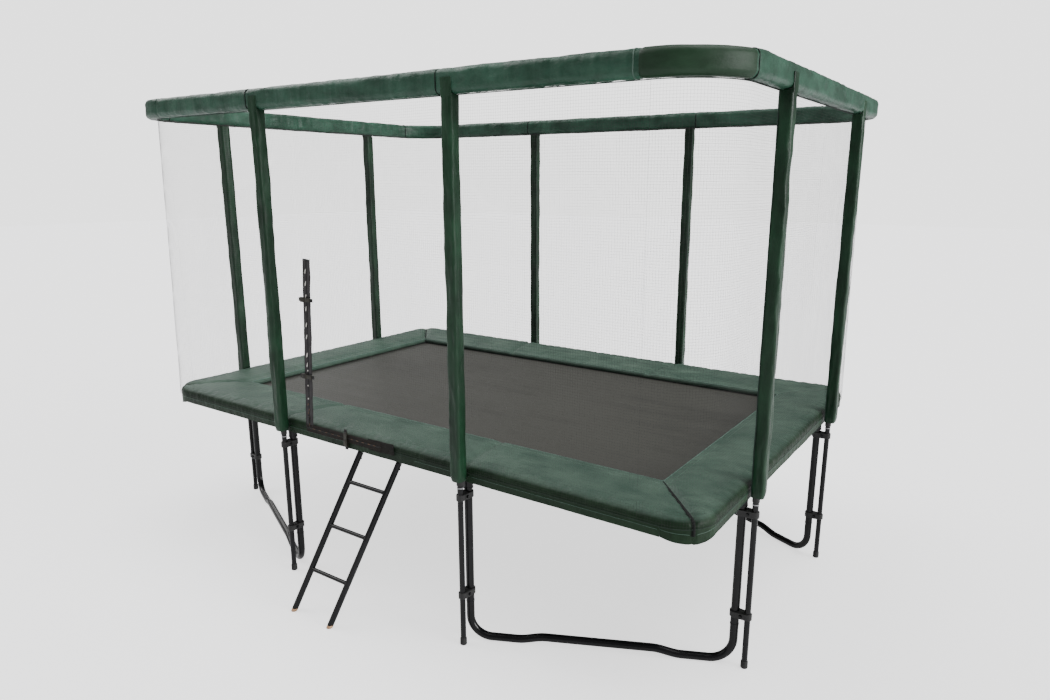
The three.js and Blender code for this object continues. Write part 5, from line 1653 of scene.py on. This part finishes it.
down = zip_line(ZIP_HIGH, ZIP_BEND, 90)
level = zip_line((ZIP_BEND[0] - LEVEL_HALF, ZIP_BEND[1]), (ZIP_END, ZIP_BEND[1]), 50)
zip_shapes = [
    ribbon(down, TAPE_HALF, 0.0020, 0, zip_tape, SWAY),
    ribbon(level, LEVEL_HALF, 0.0022, 0, level_tape, LEVEL_SWAY),
    ribbon(down, STRIP_HALF, STRIP_THICK, 0.0018, webbing),
    ribbon(level, STRIP_HALF, STRIP_THICK, 0.0020, webbing),
]
for side in (-1, 1):
    edge = [(x + side * (TAPE_HALF - 0.0025), z) for x, z in down]
    zip_shapes.append(ribbon(edge, EDGE_HALF_WIDTH, EDGE_THICK, 0.0018, webbing, SWAY))
for line in (down, level):
    for aside in (-TEETH_ASIDE, TEETH_ASIDE):
        beside = [place(x + aside, TAPE_FRONT - TEETH_DEPTH, z + aside) for x, z in line]
        zip_shapes.append(stitches(beside, *TEETH, plastic))

# %% Loose threads and the patch
DASH_HEIGHTS = (1.800, 1.735, 1.665, 1.600, 1.512, 1.446, 1.345, 1.290)
DOT_HEIGHTS = (1.250, 1.165, 1.090)
LOW_HEIGHTS = (1.06, 1.03, 1.01, 0.985, 0.965, 0.945)
LEVEL_PLACES = (-0.40, -0.35, -0.30, -0.25, -0.20, -0.10, -0.055, -0.015, 0.030, 0.070)
BITS_DEPTH = 0.0040
PATCH_ENDS = (ZIP_END - 0.090, ZIP_BEND[1]), (ZIP_END + 0.092, ZIP_BEND[1] + 0.004)
PATCH_HALF, PATCH_THICK = 0.030, 0.0010


def loose_threads(places, run, rise, length, thickness, material):
    """Slanted bits of thread, one at each place (along, height)."""
    points = []
    for x, z in places:
        for end in (-1, 1):
            points.append(place(x + end * run, TAPE_FRONT - BITS_DEPTH, z + end * rise))
    edges = [(2 * i, 2 * i + 1) for i in range(len(places))]
    return stitches(points, 1.0, length, thickness, material, edges)


dashes = [(zip_place(z) - 0.003, z) for z in DASH_HEIGHTS]
dots = [(zip_place(z) - 0.002, z) for z in DOT_HEIGHTS]
low_bits = [(zip_place(z) + (0.004 if i % 2 else -0.005), z) for i, z in enumerate(LOW_HEIGHTS)]
level_bits = [(x, ZIP_BEND[1] + 0.001) for x in LEVEL_PLACES]
zip_shapes += [
    loose_threads(dashes, 0.0035, 0.012, 0.030, 0.0062, pale_bits),
    loose_threads(dots, 0.001, 0.004, 0.010, 0.0070, pale_bits),
    loose_threads(low_bits, 0.002, 0.008, 0.018, 0.0042, brown_bits),
    loose_threads(level_bits, 0.010, 0.0, 0.024, 0.0040, brown_bits),
    ribbon(zip_line(*PATCH_ENDS, 12), PATCH_HALF, PATCH_THICK, 0, patch_cloth, PATCH_SWAY),
]


# %% Buckles and slider
def rounded_block(low, high, edge, material):
    """A moulded block with softened edges."""
    shape = bmesh.new()
    bmesh.ops.create_cube(shape, size=1.0)
    middle, size = (Vector(low) + Vector(high)) / 2, Vector(high) - Vector(low)
    for vertex in shape.verts:
        vertex.co = middle + Vector(a * b for a, b in zip(vertex.co, size))
    bmesh.ops.bevel(
        shape, geom=shape.edges[:], offset=edge, segments=2, affect="EDGES", profile=0.6
    )
    mesh = bpy.data.meshes.new("block")
    shape.to_mesh(mesh)
    shape.free()
    mesh.materials.append(material)
    mesh.shade_smooth()
    mesh.set_sharp_from_angle(angle=0.9)
    return mesh


def door_blocks(x, z, upright, blocks):
    """Blocks on the door, each with its span along the buckle, half its width, its nearest and
    furthest distance from the tape, its finish and the softness of its edges."""
    meshes = []
    for (start, end), half, near, far, finish, edge in blocks:
        u0, u1, v0, v1 = (-half, half, start, end) if upright else (start, end, -half, half)
        low = place(x + u0, TAPE_FRONT - far, z + v0)
        high = place(x + u1, TAPE_FRONT - near, z + v1)
        meshes.append(rounded_block(low, high, edge, finish))
    return meshes


HOUSING = (
    ((-0.044, -0.008), 0.013, 0.0012, 0.0144, buckle_plastic, 0.0012),
    ((-0.036, -0.018), 0.0085, 0.0130, 0.0152, buckle_plastic, 0.0008),
    ((-0.062, -0.043), 0.010, 0.0010, 0.0060, webbing, 0.0008),
)
CLIP = (
    ((-0.0077, 0.0340), 0.0115, 0.0047, 0.0127, buckle_plastic, 0.0012),
    ((-0.0295, -0.0060), 0.0074, 0.0070, 0.0104, buckle_plastic, 0.0006),
    ((0.0320, 0.0500), 0.0095, 0.0050, 0.0085, webbing, 0.0008),
)
SLIDER = (
    ((0.0005, 0.0235), 0.0068, 0.0047, 0.0104, plastic, 0.0012),
    ((-0.0215, 0.0115), 0.0038, 0.0098, 0.0127, plastic, 0.0008),
)
SLIDER_Z = ZIP_BEND[1] + 0.045
BUCKLES = {  # where it is, and whether it points upwards
    "lower": (-0.151, ZIP_BEND[1], True),
    "middle": (zip_place(1.213), 1.213, False),
    "upper": (zip_place(1.636), 1.636, False),
}
for name, spot in BUCKLES.items():
    zip_shapes += door_blocks(*spot, HOUSING)
    clip = door_blocks(*spot, CLIP)
    piece("clip_" + name, clip, ["buckle_clip_" + name], "clip_" + name)
piece("zip_and_buckles", zip_shapes, ["door_zip"])
pull = door_blocks(zip_place(SLIDER_Z + 0.012), SLIDER_Z, True, SLIDER)
piece("zip_pull", pull, ["zip_slider"], "slider")
print("buckles", len(BUCKLES))

# %% [markdown]
# ## The ladder
# Two slanting tubes hang from the frame by flat hooks, and three round rungs join them. The tubes
# are cut flat and plugged at their feet. The hook is a strap bent over the frame tube: an outline
# of its edge, given a width.

# %% Ladder
LADDER_WIDTH, LADDER_TUBE, RUNG_TUBE = 0.280, 0.016, 0.011
LADDER_FOOT, LADDER_HEAD = Vector((-0.292, -1.544, 0.0)), Vector((-0.070, -1.2164, 0.848))
RUNGS = {"lower": 0.226, "middle": 0.460, "upper": 0.692}
RUNG_IN = LADDER_TUBE - 0.010  # how far a rung reaches into its rails
WELD_SPOT, WELD_HALF, WELD_TUBE = 0.0165, 0.002, RUNG_TUBE + 0.0012
HOOK_HALF, HOOK_IN, HOOK_OUT, HOOK_STEPS = 0.012, 0.0222, 0.0262, 20
HOOK_RUN, HOOK_TIP = 0.081, 0.013
PLUG_LEVELS = (  # radius and rise
    (LADDER_TUBE * 0.98, 0.0),
    (LADDER_TUBE * 1.05, 0.0015),
    (LADDER_TUBE * 1.05, 0.014),
    (LADDER_TUBE, 0.016),
)


def rail_at(height):
    """The middle of the left rail at a height."""
    return LADDER_FOOT.lerp(LADDER_HEAD, height / LADDER_HEAD.z)


def hook_strap(x):
    """The strap's edge outline, round the frame tube, as rings from one end to the other."""
    lines = []
    for radius in (HOOK_IN, HOOK_OUT):
        angles = [math.pi * (1 - i / HOOK_STEPS) for i in range(HOOK_STEPS + 1)]
        arc = [(radius * math.cos(a), radius * math.sin(a)) for a in angles]
        lines.append([(-radius, -HOOK_RUN), *arc, (radius, -HOOK_TIP)])
    rings = []
    for (y0, z0), (y1, z1) in zip(*lines):
        ring = []
        for side, y, z in ((-1, y0, z0), (1, y0, z0), (1, y1, z1), (-1, y1, z1)):
            ring.append(place(x + side * HOOK_HALF, -FRAME_Y + y, FRAME_Z + z))
        rings.append(ring)
    return turned(shell(rings, black_steel, smooth_below=0.6))


def foot_end(shift):
    """The plugged end of a rail: its flat cut lies on the ground."""
    lean = (LADDER_HEAD - LADDER_FOOT).normalized()
    rings = []
    for radius, rise in PLUG_LEVELS:
        middle = LADDER_FOOT + lean * (rise / lean.z)
        ring = [place(middle.x + x + shift, middle.y + y, middle.z) for x, y in circle(radius)]
        rings.append(ring)
    return turned(shell(rings, foot_plug))


def level_bar(start, height, near, far, radius):
    """A round bar along the ladder's width."""
    ends = [place(start.x + near, start.y, height), place(start.x + far, start.y, height)]
    return tube(ends, radius, black_steel)


bottom = rail_at(0.012)
for name, shift in (("left", 0.0), ("right", LADDER_WIDTH)):
    line = [place(spot.x + shift, spot.y, spot.z) for spot in (bottom, LADDER_HEAD)]
    rail = tube(line, LADDER_TUBE, black_steel, MANY_SIDES)
    shapes = [rail, hook_strap(LADDER_HEAD.x + shift), foot_end(shift)]
    steel_piece("climbing_rail_" + name, shapes, ["ladder_rail_" + name], "ladder")
for name, height in RUNGS.items():
    start = rail_at(height)
    shapes = [level_bar(start, height, RUNG_IN, LADDER_WIDTH - RUNG_IN, RUNG_TUBE)]
    for weld in (WELD_SPOT, LADDER_WIDTH - WELD_SPOT):
        shapes.append(level_bar(start, height, weld - WELD_HALF, weld + WELD_HALF, WELD_TUBE))
    steel_piece("climbing_rung_" + name, shapes, ["ladder_rung_" + name], "ladder")
print("ladder rungs", len(RUNGS))
